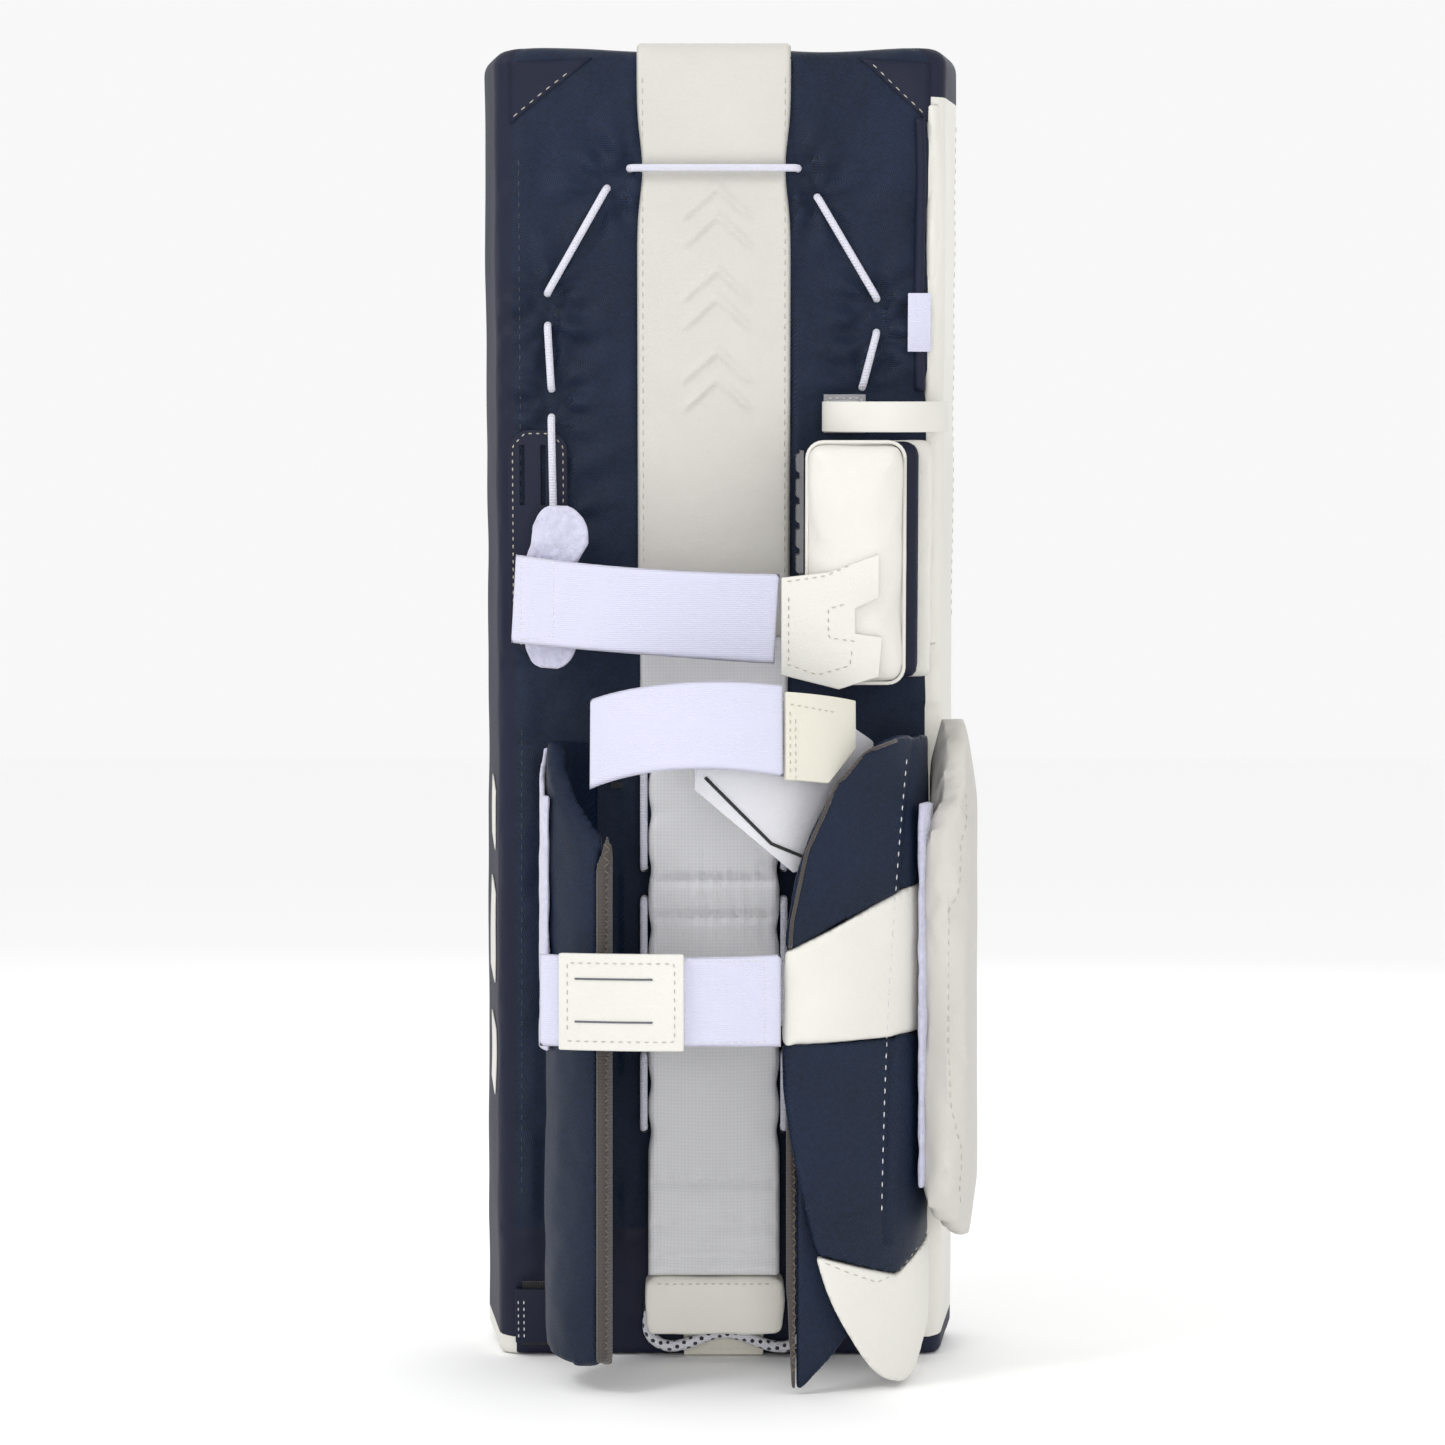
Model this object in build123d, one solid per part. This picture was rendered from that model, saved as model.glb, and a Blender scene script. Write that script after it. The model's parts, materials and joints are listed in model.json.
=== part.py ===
from build123d import *
import os
from math import atan2, cos, pi, radians, sin, tan

# Ice-hockey goalie leg pad, seen as worn on a standing goalie: +Z up the leg, +Y out of the front
# face, -Y towards the calf. The origin is the middle of the flat sole edge. Millimetres.
# The pad is three foam segments (boot, shin, thigh) that bend at an ankle break and a knee break.
# Every segment is drawn upright about the same mid-plane, then the boot and thigh are tilted.

# ---------------------------------------------------------------- driving dimensions
face_width = 279.0        # front face, edge to edge
side_slope = 14.0         # each side runs in by this much from the face to the back
core_depth = 75.0         # front face to back face
face_corner_r = 16.0      # long front edges
back_corner_r = 12.0      # long back edges
top_corner_r = 10.0       # edges round the top of the thigh rise
cover_t = 2.5             # synthetic leather and nylon covers
stiffener_t = 1.5         # plastic sheet laminated between the two foams
stiffener_setback = 9.0   # stiffener lies this far behind the middle of the core

ankle_z = 82.0            # height of the ankle break
knee_z = 395.0            # height of the knee break
top_z = 752.0             # top of the thigh rise before it is tilted
thigh_lean = 6.0          # degrees, top towards the leg
boot_kick = 9.0           # degrees, sole towards the toe
break_gap = 1.0           # running clearance in the rounded foam breaks
break_lip = 14.0          # how far below its pivot each hollow break stops

roll_r = 17.0             # vertical roll along the outer edge of the face
roll_inset = 23.5         # its middle, in from the edge of the face
roll_proud = 12.0
roll_gap = 20.0           # opening between rolls at each break
roll_end_r = 9.0
knee_roll_r = 16.0        # horizontal knee rolls
knee_roll_proud = 11.0
knee_roll_pitch = 31.0
knee_roll_count = 3

soft_gap = 0.5            # clearance between soft pieces that lie on each other
cord_d = 4.2              # flat core lacing
toe_cord_d = 6.5          # toe bungee

center_panel_x = (-47.0, 40.0)
cradle_x = (-41.0, 34.0)
cradle_foam_t = 8.0
cradle_liner_t = 13.0
cradle_top_drop = 43.0    # top of the cradle below the knee break
cradle_bottom_rise = 9.0  # bottom of the cradle above the ankle break

wing_t = 11.0             # padded leg-channel wings
liner_t = 4.5             # inner wing liner
binding_w = 6.0           # bound edge of a wing
wedge_t = 18.0            # calf wedge

strap_t = 2.6             # elastic webbing
strap_w = 50.0
tab_t = 3.0               # leather pull tabs
patch_t = 3.0             # sewn leather patches
calf_strap_low = 191.0    # lower edge of the calf strap
shell_t = 1.6             # thin covers of the small cushions

# ---------------------------------------------------------------- derived sizes
face_half = face_width / 2
back_half = face_half - side_slope
half_depth = core_depth / 2
# The boot is tilted about the ankle, so the core sits back by what the sole swings forward.
mid_y = -ankle_z * tan(radians(boot_kick))
front_y = mid_y + half_depth
back_y = mid_y - half_depth
roll_x = -face_half + roll_inset
wing_half = wing_t / 2
far = 900.0


# ---------------------------------------------------------------- helpers
def slab(x, y, z):
    """A box from (low, high) pairs."""
    size = [high - low for low, high in (x, y, z)]
    middle = [(high + low) / 2 for low, high in (x, y, z)]
    return Pos(*middle) * Box(*size)


def bar_x(radius, x, y, z):
    """A cylinder along X between two ends."""
    return Pos((x[0] + x[1]) / 2, y, z) * Rot(0, 90, 0) * Cylinder(radius, x[1] - x[0])


def prism(face, z):
    """A plan section raised between two heights."""
    return Pos(0, 0, z[0]) * extrude(face, amount=z[1] - z[0], dir=(0, 0, 1))


def side_cut(points):
    """An outline in (y, z), pushed right through the pad along X."""
    return extrude(Plane.YZ * make_face(Polyline(*points, close=True)), amount=far, both=True)


def back_cut(lines):
    """An outline in (x, z), pushed right through the pad along Y."""
    return extrude(Plane.XZ * make_face(lines), amount=far, both=True)


def outline(*points):
    return Polyline(*points, close=True)


def circle_through(a, b, c):
    """Centre and radius of the circle through three plan points."""
    (ax, ay), (bx, by), (cx, cy) = a, b, c
    d = 2 * (ax * (by - cy) + bx * (cy - ay) + cx * (ay - by))
    a2, b2, c2 = ax * ax + ay * ay, bx * bx + by * by, cx * cx + cy * cy
    x = (a2 * (by - cy) + b2 * (cy - ay) + c2 * (ay - by)) / d
    y = (a2 * (cx - bx) + b2 * (ax - cx) + c2 * (bx - ax)) / d
    return x, y, ((ax - x) ** 2 + (ay - y) ** 2) ** 0.5


class Curve:
    """A circular arc in plan from a root, past a middle, to a free end. Layers of cloth and
    padding are laid on it by their distance outwards from the leg."""

    def __init__(self, root, middle, tip):
        self.x, self.y, self.r = circle_through(root, middle, tip)
        angles = [atan2(p[1] - self.y, p[0] - self.x) for p in (root, middle, tip)]
        start, mid, end = angles
        sign = 1 if (mid - start) % (2 * pi) < (end - start) % (2 * pi) else -1
        self.start = start
        self.turn = sign * ((sign * (end - start)) % (2 * pi))

    def at(self, share, out=0.0):
        """The point at a share of the arc, moved outwards."""
        angle = self.start + share * self.turn
        return self.x + (self.r + out) * cos(angle), self.y + (self.r + out) * sin(angle)

    def layer(self, out, share=(0.0, 1.0)):
        """The plan face between two distances outwards, over part of the arc."""
        middle = (share[0] + share[1]) / 2
        a, b, c = (self.at(s, out[1]) for s in (share[0], middle, share[1]))
        d, e, f = (self.at(s, out[0]) for s in (share[1], middle, share[0]))
        edge = ThreePointArc(a, b, c) + Line(c, d) + ThreePointArc(d, e, f) + Line(f, a)
        return make_face(edge)

    def share_of(self, length):
        """What share of the arc a length along it is."""
        return length / (self.r * abs(self.turn))


def thigh_tilt(shape):
    return Pos(0, mid_y, knee_z) * Rot(thigh_lean, 0, 0) * Pos(0, -mid_y, -knee_z) * shape


def boot_tilt(shape):
    tilted = Pos(0, mid_y, ankle_z) * Rot(boot_kick, 0, 0) * Pos(0, -mid_y, -ankle_z) * shape
    return tilted - slab((-far, far), (-far, far), (-far, 0))


# ---------------------------------------------------------------- padded core, in layers
def pad_section():
    section = make_face(outline((-face_half, front_y), (face_half, front_y),
                                (back_half, back_y), (-back_half, back_y)))
    front_corners = section.vertices().sort_by(Axis.Y)[2:]
    section = fillet(front_corners, face_corner_r)
    back_corners = [v for v in section.vertices() if abs(v.Y - back_y) < 1e-3]
    return fillet(back_corners, back_corner_r)


outer_section = pad_section()
inner_section = offset(outer_section, -cover_t)
full_height = (-ankle_z, top_z)
core_solid = prism(outer_section, full_height)


def round_top(core, radius):
    return fillet(core.edges().group_by(Axis.Z)[-1], radius)


outer_core = round_top(core_solid, top_corner_r)
inner_core = round_top(prism(inner_section, (-ankle_z, top_z - cover_t)), top_corner_r - cover_t)


def between(y0, y1):
    return slab((-far, far), (y0, y1), (-far, far))


under_cover_y = back_y + cover_t
stiffener_y = (mid_y - stiffener_setback, mid_y - stiffener_setback + stiffener_t)

wide = (-face_width, face_width)


def break_round(z, clearance=0.0):
    """The cylinder about a break that the rounded foam ends follow. It is a touch wider than the
    core is deep, so that it runs out through both faces just below the pivot."""
    return bar_x(half_depth + 0.2 + clearance, wide, mid_y, z)


def height(low, high):
    return slab((-far, far), (-far, far), (low, high))


thigh_region = height(knee_z, top_z) + break_round(knee_z)
shin_region = (
    height(ankle_z, knee_z - break_lip) + break_round(ankle_z) - break_round(knee_z, break_gap)
)
boot_region = height(-ankle_z, ankle_z - break_lip) - break_round(ankle_z, break_gap)


laminated = {
    "foam_back": (under_cover_y, stiffener_y[0]),
    "stiffener": stiffener_y,
    "foam_front": (stiffener_y[1], far),
}


def segment(prefix, region, core):
    """One bending segment of the pad: its two covers and the layers of its foam core."""
    outer = outer_core & region
    inner = inner_core & region
    covers = {
        f"{prefix}_back_cover": outer & between(-far, under_cover_y),
        f"{prefix}_face_cover": outer & between(under_cover_y, far) - inner_core,
    }
    return covers | {f"{prefix}_{name}": inner & between(*span) for name, span in core.items()}


thigh = segment("thigh", thigh_region, laminated)
shin = segment("shin", shin_region, laminated)
boot = segment("boot", boot_region, {"foam": (under_cover_y, far)})

# ---------------------------------------------------------------- rolls on the front face
roll_y = front_y + roll_proud - roll_r


def outer_roll(z):
    roll = Pos(roll_x, roll_y, (z[0] + z[1]) / 2) * Cylinder(roll_r, z[1] - z[0])
    roll = fillet(roll.edges().filter_by(GeomType.CIRCLE), roll_end_r)
    return roll - core_solid - break_round(knee_z, break_gap) - break_round(ankle_z, break_gap)


thigh["thigh_outer_roll"] = outer_roll((knee_z + roll_gap / 2, top_z - roll_end_r))
shin["shin_outer_roll"] = outer_roll((ankle_z + roll_gap / 2, knee_z - roll_gap / 2))
boot["boot_outer_roll"] = outer_roll((-ankle_z, ankle_z - roll_gap / 2))


def knee_rolls():
    ends = (roll_x + roll_r + 4, face_half - face_corner_r + 2)
    y = front_y + knee_roll_proud - knee_roll_r
    first = knee_z + roll_gap / 2 + knee_roll_r
    heights = [first + i * knee_roll_pitch for i in range(knee_roll_count)]
    return [bar_x(knee_roll_r - soft_gap, ends, y, z) - core_solid for z in heights]


thigh["knee_rolls"] = knee_rolls()

# ---------------------------------------------------------------- back of the thigh rise
panel_y = (back_y - cover_t, back_y)
thigh["thigh_center_panel"] = slab(center_panel_x, panel_y, (knee_z + 5, top_z - top_corner_r))


def cord_stitch(start, end, surface_y, bury=0.0):
    """One visible stretch of lacing: it comes out of the cover, runs along it and goes back in.
    Both ends turn in by 90 degrees; bury takes them down through what lies on the cover."""
    (x0, z0), (x1, z1) = start, end
    run_y = surface_y - cord_d - 0.2
    path = FilletPolyline((x0, surface_y + bury, z0), (x0, run_y, z0), (x1, run_y, z1),
                          (x1, surface_y + bury, z1), radius=cord_d)
    section = Plane(origin=path @ 0, z_dir=path % 0) * Circle(cord_d / 2)
    return sweep(section, path=path)


# Lacing that draws the core together: a line across the top, then two slanted and two upright
# stitches down each side. Heights are above the knee break.
lace_in = back_half - 27.5       # the upright stitches, out from the middle
lace_across_z = knee_z + 290
lace_across_x = (center_panel_x[0] - 4, center_panel_x[1] + 4)
lacing_left = [((-64, 279), (-lace_in, 220)), ((-lace_in, 202), (-lace_in + 2, 166))]
lacing_right = [((55, 274), (lace_in - 9, 217)), ((lace_in - 9, 198), (lace_in - 17, 167))]
lacing_low = ((-lace_in + 2, 150), (-lace_in + 3, 92))

patch_x = (-back_half + 4.5, -back_half + 38.5)
patch_z = (knee_z + 15, knee_z + 143)
patch_r = 13.0
patch_slot = (2.5, 34.0)
patch_slot_inset = (8.0, 20.0)
patch_slot_z = patch_z[1] - 26


def raised(stitch):
    return [(x, knee_z + z) for x, z in stitch]


thigh["thigh_lacing"] = [
    cord_stitch(*raised(stitch), back_y) for stitch in lacing_left + lacing_right
] + [
    cord_stitch(*raised(lacing_low), back_y - patch_t),
    cord_stitch((lace_across_x[0], lace_across_z), (lace_across_x[1], lace_across_z), panel_y[0], cover_t),
]


def on_back(face, thickness):
    """A flat piece drawn in (x, z), lying on the back of the pad."""
    return Pos(0, back_y, 0) * extrude(Plane.XZ * face, amount=thickness, dir=(0, -1, 0))


def anchor_patch():
    middle = ((patch_x[0] + patch_x[1]) / 2, (patch_z[0] + patch_z[1]) / 2)
    plate = Pos(*middle) * RectangleRounded(patch_x[1] - patch_x[0], patch_z[1] - patch_z[0], patch_r)
    for inset in patch_slot_inset:
        plate -= Pos(patch_x[0] + inset, patch_slot_z) * Rectangle(*patch_slot)
    return on_back(plate, patch_t)


thigh["anchor_patch"] = anchor_patch()

# ---------------------------------------------------------------- knee block
block_hinge = (back_half - 1.5, back_y - 5.5)
block_x = (back_half - 78.5, back_half - 21.5)
block_z = (knee_z + 1, knee_z + 138)
block_edge_r = 9.0
base_t = 10.0
layer_t = 9.0
block_t = 36.0
base_x = (block_x[0] + 5, block_hinge[0] - 3)
layer_x = (block_x[0] + 3, block_x[1] + 8)
base_y = (block_hinge[1] - base_t, block_hinge[1] - 0.2)
layer_y = (base_y[0] - soft_gap - layer_t, base_y[0] - soft_gap)
block_y = (layer_y[0] - soft_gap - block_t, layer_y[0] - soft_gap)


def cushion(x, y, z, radius):
    body = slab(x, y, z)
    return fillet(body.edges(), radius)


def shrunk(span, by):
    return span[0] + by, span[1] - by


block_outer = cushion(block_x, block_y, block_z, block_edge_r)
block_foam = cushion(*[shrunk(span, shell_t) for span in (block_x, block_y, block_z)],
                     block_edge_r - shell_t)
block = {
    "knee_block_cover": block_outer - block_foam,
    "knee_block_foam": block_foam,
    "knee_block_layer": cushion(layer_x, layer_y, shrunk(block_z, 2), layer_t * 0.4),
    "knee_block_base": cushion(base_x, base_y, shrunk(block_z, 1), base_t * 0.4),
}

rim_t = 4.0
rim_x = (block_x[0] - soft_gap - rim_t, block_x[0] - soft_gap)
rim_y = (block_y[0] + 10, block_y[1] - 4)
rim_z = (knee_z + 62, knee_z + 132)
scallops = 5


def knee_block_rim():
    """Rubber strip on the knee side of the block: a thin plate with rounded lobes."""
    pitch = (rim_z[1] - rim_z[0]) / scallops
    room = slab(rim_x, rim_y, rim_z)
    strip = slab((rim_x[1] - rim_t / 2, rim_x[1]), rim_y, rim_z)
    for i in range(scallops):
        z = rim_z[0] + pitch * (i + 0.5)
        lobe = Rot(90, 0, 0) * Cylinder(pitch * 0.42, rim_y[1] - rim_y[0])
        strip += Pos(rim_x[1], sum(rim_y) / 2, z) * lobe & room
    return strip


block["knee_block_rim"] = knee_block_rim()

# The leather tab is sewn to the block's face. The strap turns about the tab's free end.
tab_y = (block_y[0] - soft_gap - tab_t, block_y[0] - soft_gap)
tab_end_x = block_x[0] - 13
tab_rise = knee_z + 33
tab_outline = (
    (tab_end_x, -25), (block_x[0] + 19, -33), (block_x[0] + 41, -26), (block_x[0] + 43, -4),
    (block_x[0] + 28, -2), (block_x[0] + 28, 12), (block_x[0] + 41, 18), (block_x[0] + 41, 42),
    (block_x[0] + 13, 32), (tab_end_x, 29),
)
tab_face = make_face(outline(*[(x, tab_rise + z) for x, z in tab_outline]))
block["knee_strap_tab"] = Pos(0, tab_y[1] - back_y, 0) * on_back(tab_face, tab_t)

# ---------------------------------------------------------------- knee strap
strap_drop = 3.5          # degrees, the strap falls towards the block
knee_strap_z = (knee_z + 16, knee_z + 16 + strap_w)
knee_strap_pivot = (tab_end_x - 1, tab_y[0] - 0.2)
knee_strap = Curve((tab_end_x - 2.7, tab_y[1]), (-42, block_y[0] - 6), (-back_half + 9.5, back_y - 27))


def dropped(shape):
    """The strap turned in its own face, about the middle of the leg channel."""
    middle_z = sum(knee_strap_z) / 2
    return Pos(0, 0, middle_z) * Rot(0, strap_drop, 0) * Pos(0, 0, -middle_z) * shape


hook_t = 2.7
knee_strap_body = {
    "knee_strap_elastic": dropped(prism(knee_strap.layer((0, strap_t)), knee_strap_z)),
    "knee_strap_hook": dropped(prism(
        knee_strap.layer((-soft_gap - hook_t, -soft_gap), (0.80, 0.99)), shrunk(knee_strap_z, 3))),
}

flap_t = 2.5
flap_z = (knee_z + 19, knee_z + 99)
flap_gap = 1.8            # room for the hooks, and for the strap's slant
flap_out = -soft_gap - hook_t - flap_gap
flap_foot = (7.0, 4.0)    # where it is sewn on: how far in from the patch's edge, and its width


def anchor_loop_flap():
    """Loop-faced flap that the strap's hooks grip, standing off the anchor patch."""
    flap = prism(knee_strap.layer((flap_out - flap_t, flap_out), (0.76, 1.0)), flap_z)
    tip_x, tip_y = knee_strap.at(1.0, flap_out - flap_t / 2)
    foot = slab((tip_x - flap_foot[1] / 2, tip_x + flap_foot[1] / 2),
                (tip_y - 1, back_y - patch_t), flap_z)
    return flap + foot


thigh["anchor_loop_flap"] = anchor_loop_flap()

# ---------------------------------------------------------------- suspension band, edge trim
band_patch_t = 2.0
band_patch = (block_x[0] + 12, block_x[0] + 36)
thigh["block_anchor_patch"] = slab(band_patch, (back_y - band_patch_t, back_y),
                                   (block_z[1] + 3, block_z[1] + 25))
suspension_z = (block_z[1] + 4, block_z[1] + 21)
suspension_t = 2.5
suspension_root_y = back_y - band_patch_t
suspension = Curve((band_patch[0] + 5, suspension_root_y + 3), (back_half - 27, block_y[0] + 14),
                   (back_half - 2, suspension_root_y + 3))
suspension_arc = prism(suspension.layer((0, suspension_t)), suspension_z)
thigh["block_suspension_band"] = suspension_arc & between(-far, suspension_root_y)

piping_r = 3.5
piping_x = back_half - back_corner_r
piping_z = (knee_z + 165, knee_z + 320)
piping = Pos(piping_x, back_y - 1.5, sum(piping_z) / 2) * Cylinder(piping_r, piping_z[1] - piping_z[0])
thigh["thigh_edge_piping"] = piping - core_solid
tag_t = 1.2
tag_y = back_y - 1.5 - piping_r - soft_gap
tag_z = (knee_z + 187, knee_z + 220)
thigh["edge_tab"] = slab((piping_x - 7, piping_x + 6), (tag_y - tag_t, tag_y), tag_z)

# ---------------------------------------------------------------- shin cradle
cradle_z = (ankle_z + cradle_bottom_rise, knee_z - cradle_top_drop)
cradle_foam_y = (back_y - cradle_foam_t, back_y)
liner_y = (cradle_foam_y[0] - cradle_liner_t, cradle_foam_y[0])
cradle_hollow = 6.0       # depth of the hollow that the shin lies in
foam_inset = 3.0


def cradle_section():
    left, right = cradle_x
    near, deep = liner_y
    middle = ((left + right) / 2, near + cradle_hollow)
    edge = Line((left, near), (left, deep)) + Line((left, deep), (right, deep))
    edge += Line((right, deep), (right, near))
    return make_face(edge + ThreePointArc((right, near), middle, (left, near)))


shin["cradle_foam"] = slab(shrunk(cradle_x, foam_inset), cradle_foam_y, cradle_z)
shin["cradle_liner"] = prism(cradle_section(), cradle_z)

lace_clear = cord_d / 2 + 0.4
lace_lines = (cradle_x[0] - lace_clear, cradle_x[1] + lace_clear)
lace_y = liner_y[0] + 5.0
channels = (0.13, 0.36, 0.70)     # where the laces dive under, as shares of the cradle's height
channel_w = 18.0


def shin_lacing():
    """Cords along both edges of the cradle, in runs that dive under it at its cross channels."""
    low, high = cradle_z
    stops = [low] + [low + share * (high - low) for share in channels] + [high]
    runs = [(a + channel_w / 2, b - channel_w / 2) for a, b in zip(stops[1:], stops[2:])]
    cords = []
    for x in lace_lines:
        for z0, z1 in runs:
            path = FilletPolyline((x, back_y, z0), (x, lace_y, z0), (x, lace_y, z1), (x, back_y, z1),
                                  radius=cord_d)
            section = Plane(origin=path @ 0, z_dir=path % 0) * Circle(cord_d / 2)
            cords.append(sweep(section, path=path))
    return cords


shin["shin_lacing"] = shin_lacing()

# ---------------------------------------------------------------- outer wing
wing_root_y = back_y - wing_half - soft_gap
outer_root = (-back_half + 51.5, wing_root_y)
outer_wing = Curve(outer_root, (outer_root[0] - 18, wing_root_y - 45), (outer_root[0] + 14, wing_root_y - 92))
# The root's lower end stops above the ankle break, so that the wing can open over the boot.
outer_wing_profile = side_cut((
    (far, ankle_z - 10), (far, knee_z - 49), (wing_root_y - 43, knee_z - 39),
    (wing_root_y - 64, knee_z - 61), (wing_root_y - 75, knee_z - 75), (wing_root_y - 85, knee_z - 89),
    (wing_root_y - 106, knee_z - 133), (wing_root_y - 106, 22), (wing_root_y - 84, 14),
    (wing_root_y - 50, 18), (wing_root_y - 20, ankle_z - 30),
))
wing_rise = (0, knee_z - 15)


def wing_slab(curve, out, share=(0.0, 1.0)):
    return prism(curve.layer(out, share), wing_rise)


def rounded_root(curve, root):
    """The wing, its root rounded about the seam that it turns on."""
    return wing_slab(curve, (-wing_half, wing_half)) + prism(Pos(*root) * Circle(wing_half), wing_rise)


outer_solid = rounded_root(outer_wing, outer_root) & outer_wing_profile
outer_edge = wing_slab(outer_wing, (-wing_t, wing_t), (1 - outer_wing.share_of(binding_w), 1.1))
loop_t = 3.0
loop_z = (184.0, knee_z - 43)
loop_profile = side_cut(((far, loop_z[0]), (far, loop_z[1]), (wing_root_y - 27, loop_z[1]),
                         (wing_root_y - 55, loop_z[1] - 26), (-far, loop_z[1] - 52), (-far, loop_z[0])))
outer_loop_out = (wing_half + soft_gap, wing_half + soft_gap + loop_t)
outer_loop = prism(outer_wing.layer(outer_loop_out, (0.24, 0.62)), loop_z)
wing_o = {
    "outer_wing_panel": outer_solid - outer_edge,
    "outer_wing_binding": outer_solid & outer_edge,
    "outer_wing_loop": outer_loop & loop_profile,
}

elastic_t = 1.6
elastic_zs = (cradle_z[1] - 22, calf_strap_low - 10)
elastic_x = (outer_root[0] + wing_t, cradle_x[0] + foam_inset)
shin["cradle_elastics"] = [
    slab(elastic_x, (back_y - elastic_t, back_y), (z - elastic_t, z + elastic_t)) for z in elastic_zs
]

# ---------------------------------------------------------------- inner wing
inner_root = (back_half - 14.5, wing_root_y - 1)
inner_wing = Curve(inner_root, (inner_root[0] - 18, wing_root_y - 70), (inner_root[0] - 77, wing_root_y - 98))
tip_x = inner_root[0] - 77


def from_tip(points):
    """Outline points given as distances in from the wing's free edge."""
    return [(tip_x + x, z) for x, z in points]


# Outline of the wing as the calf sees it: down its free edge from the knee, then to the heel.
wing_top = (96, knee_z - 35)
free_edge = from_tip((
    (64, knee_z - 37), (44, knee_z - 47), (27, knee_z - 67), (10, knee_z - 103),
    (1, calf_strap_low + strap_w), (0, calf_strap_low), (4, 143), (16, ankle_z + 2), (24, 56),
    (38, 28), (54, 8), (67, 2),
))
inner_profile = back_cut(
    Line(*from_tip((wing_top, (64, knee_z - 37)))) + Spline(*free_edge)
    + Line(free_edge[-1], *from_tip(((74, 6),))) + Line(*from_tip(((74, 6), (96, 60))))
    + Line(*from_tip(((96, 60), wing_top)))
)
inner_solid = rounded_root(inner_wing, inner_root) & inner_profile
band_top = (
    (-24, calf_strap_low + 44), (0, calf_strap_low + 50), (69, calf_strap_low + 84),
    (136, calf_strap_low + 99),
)
band_bottom = ((136, calf_strap_low + 5), (-24, calf_strap_low - 1))
guard_top = ((-24, ankle_z), (20, ankle_z - 6), (63, ankle_z - 20), (84, ankle_z - 4), (136, ankle_z + 38))
band_zone = back_cut(outline(*from_tip(band_top + band_bottom)))
above_band = back_cut(outline(*from_tip(band_top + ((136, knee_z), (-24, knee_z)))))
guard_zone = back_cut(outline(*from_tip(guard_top + ((136, -20), (-24, -20)))))

liner_out = (-wing_half - soft_gap - liner_t, -wing_half - soft_gap)
liner_profile = back_cut(outline(*from_tip((
    (96, knee_z - 39), (63, knee_z - 41), (42, knee_z - 51), (26, knee_z - 71), (11, knee_z - 107),
    (3, calf_strap_low + 49), (2, calf_strap_low - 1), (2, 60), (5, 3), (10, 2), (26, 18), (44, 40),
    (96, 66),
))))
liner_solid = wing_slab(inner_wing, liner_out, (0.02, 0.985)) & liner_profile
liner_edge = wing_slab(inner_wing, (-wing_t * 2, 0), (0.985 - inner_wing.share_of(binding_w), 1.1))
wing_i = {
    "inner_wing_panels": [inner_solid & above_band, inner_solid - above_band - band_zone - guard_zone],
    "inner_wing_band": inner_solid & band_zone,
    "inner_wing_guard": inner_solid & guard_zone,
    "inner_wing_liner": liner_solid - liner_edge,
    "inner_wing_binding": liner_solid & liner_edge,
}

# ---------------------------------------------------------------- calf tongue behind the straps
tongue_t = 3.0
tongue = Curve((inner_root[0] - 27, back_y + 3), (inner_root[0] - 41, wing_root_y - 63),
               (inner_root[0] - 125, wing_root_y - 90))
tongue_profile = back_cut(outline(*from_tip((
    (-56, knee_z - 59), (-42, knee_z - 9), (-14, knee_z - 11), (26, knee_z - 23), (58, knee_z - 43),
    (76, knee_z - 65), (76, knee_z - 95), (42, knee_z - 105), (6, knee_z - 111),
))))
tongue_sheet = prism(tongue.layer((-tongue_t, 0)), (0, knee_z))
shin["calf_tongue"] = tongue_sheet & tongue_profile & between(-far, back_y)

# ---------------------------------------------------------------- upper calf strap
upper_left = outer_wing.at(0.80, -wing_half - 4)
upper_strap = Curve(upper_left, (-4, wing_root_y - 109), (tip_x + 22, wing_root_y - 90))
upper_z = (knee_z - 66, knee_z - 66 + strap_w)
upper_tilt = 9.0          # degrees, its belly rides up as it goes round the calf
upper_tilt_y = wing_root_y - 74


def tilted_up(shape):
    middle_z = sum(upper_z) / 2
    level = Pos(0, -upper_tilt_y, -middle_z) * shape
    return Pos(0, upper_tilt_y, middle_z) * Rot(-upper_tilt, 0, 0) * level


# The tab's lower corner is cut back, so that it clears the wing's edge as the strap opens.
tab_cut = back_cut(outline(*from_tip((
    (18, knee_z - 95), (25, knee_z - 62), (42, knee_z - 42), (62, knee_z - 33), (166, knee_z - 29),
    (166, knee_z - 95),
))))
upper_tab_arc = upper_strap.layer((0, strap_t + 1.2), (0.825, 1.16))
upper = {
    "upper_strap_elastic": tilted_up(prism(upper_strap.layer((0, strap_t), (0.0, 0.82)), upper_z)),
    "upper_strap_tab": tilted_up(prism(upper_tab_arc, shrunk(upper_z, 1))) - tab_cut,
}

# ---------------------------------------------------------------- lower calf strap
calf_z = (calf_strap_low, calf_strap_low + strap_w)
calf_hinge = (tip_x - 1.5, wing_root_y - 106)
calf_strap = Curve(calf_hinge, (-32, calf_hinge[1] - 9.5), (outer_root[0] - 23, calf_hinge[1] + 5))
badge_t = 4.5
badge_out = (strap_t + 0.2, strap_t + 0.2 + badge_t)
calf = {
    "calf_strap_band": prism(calf_strap.layer((0, strap_t)), calf_z),
    "calf_strap_badge": prism(calf_strap.layer(badge_out, (0.40, 0.90)), (calf_z[0] - 1, calf_z[1] + 1)),
}

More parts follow.
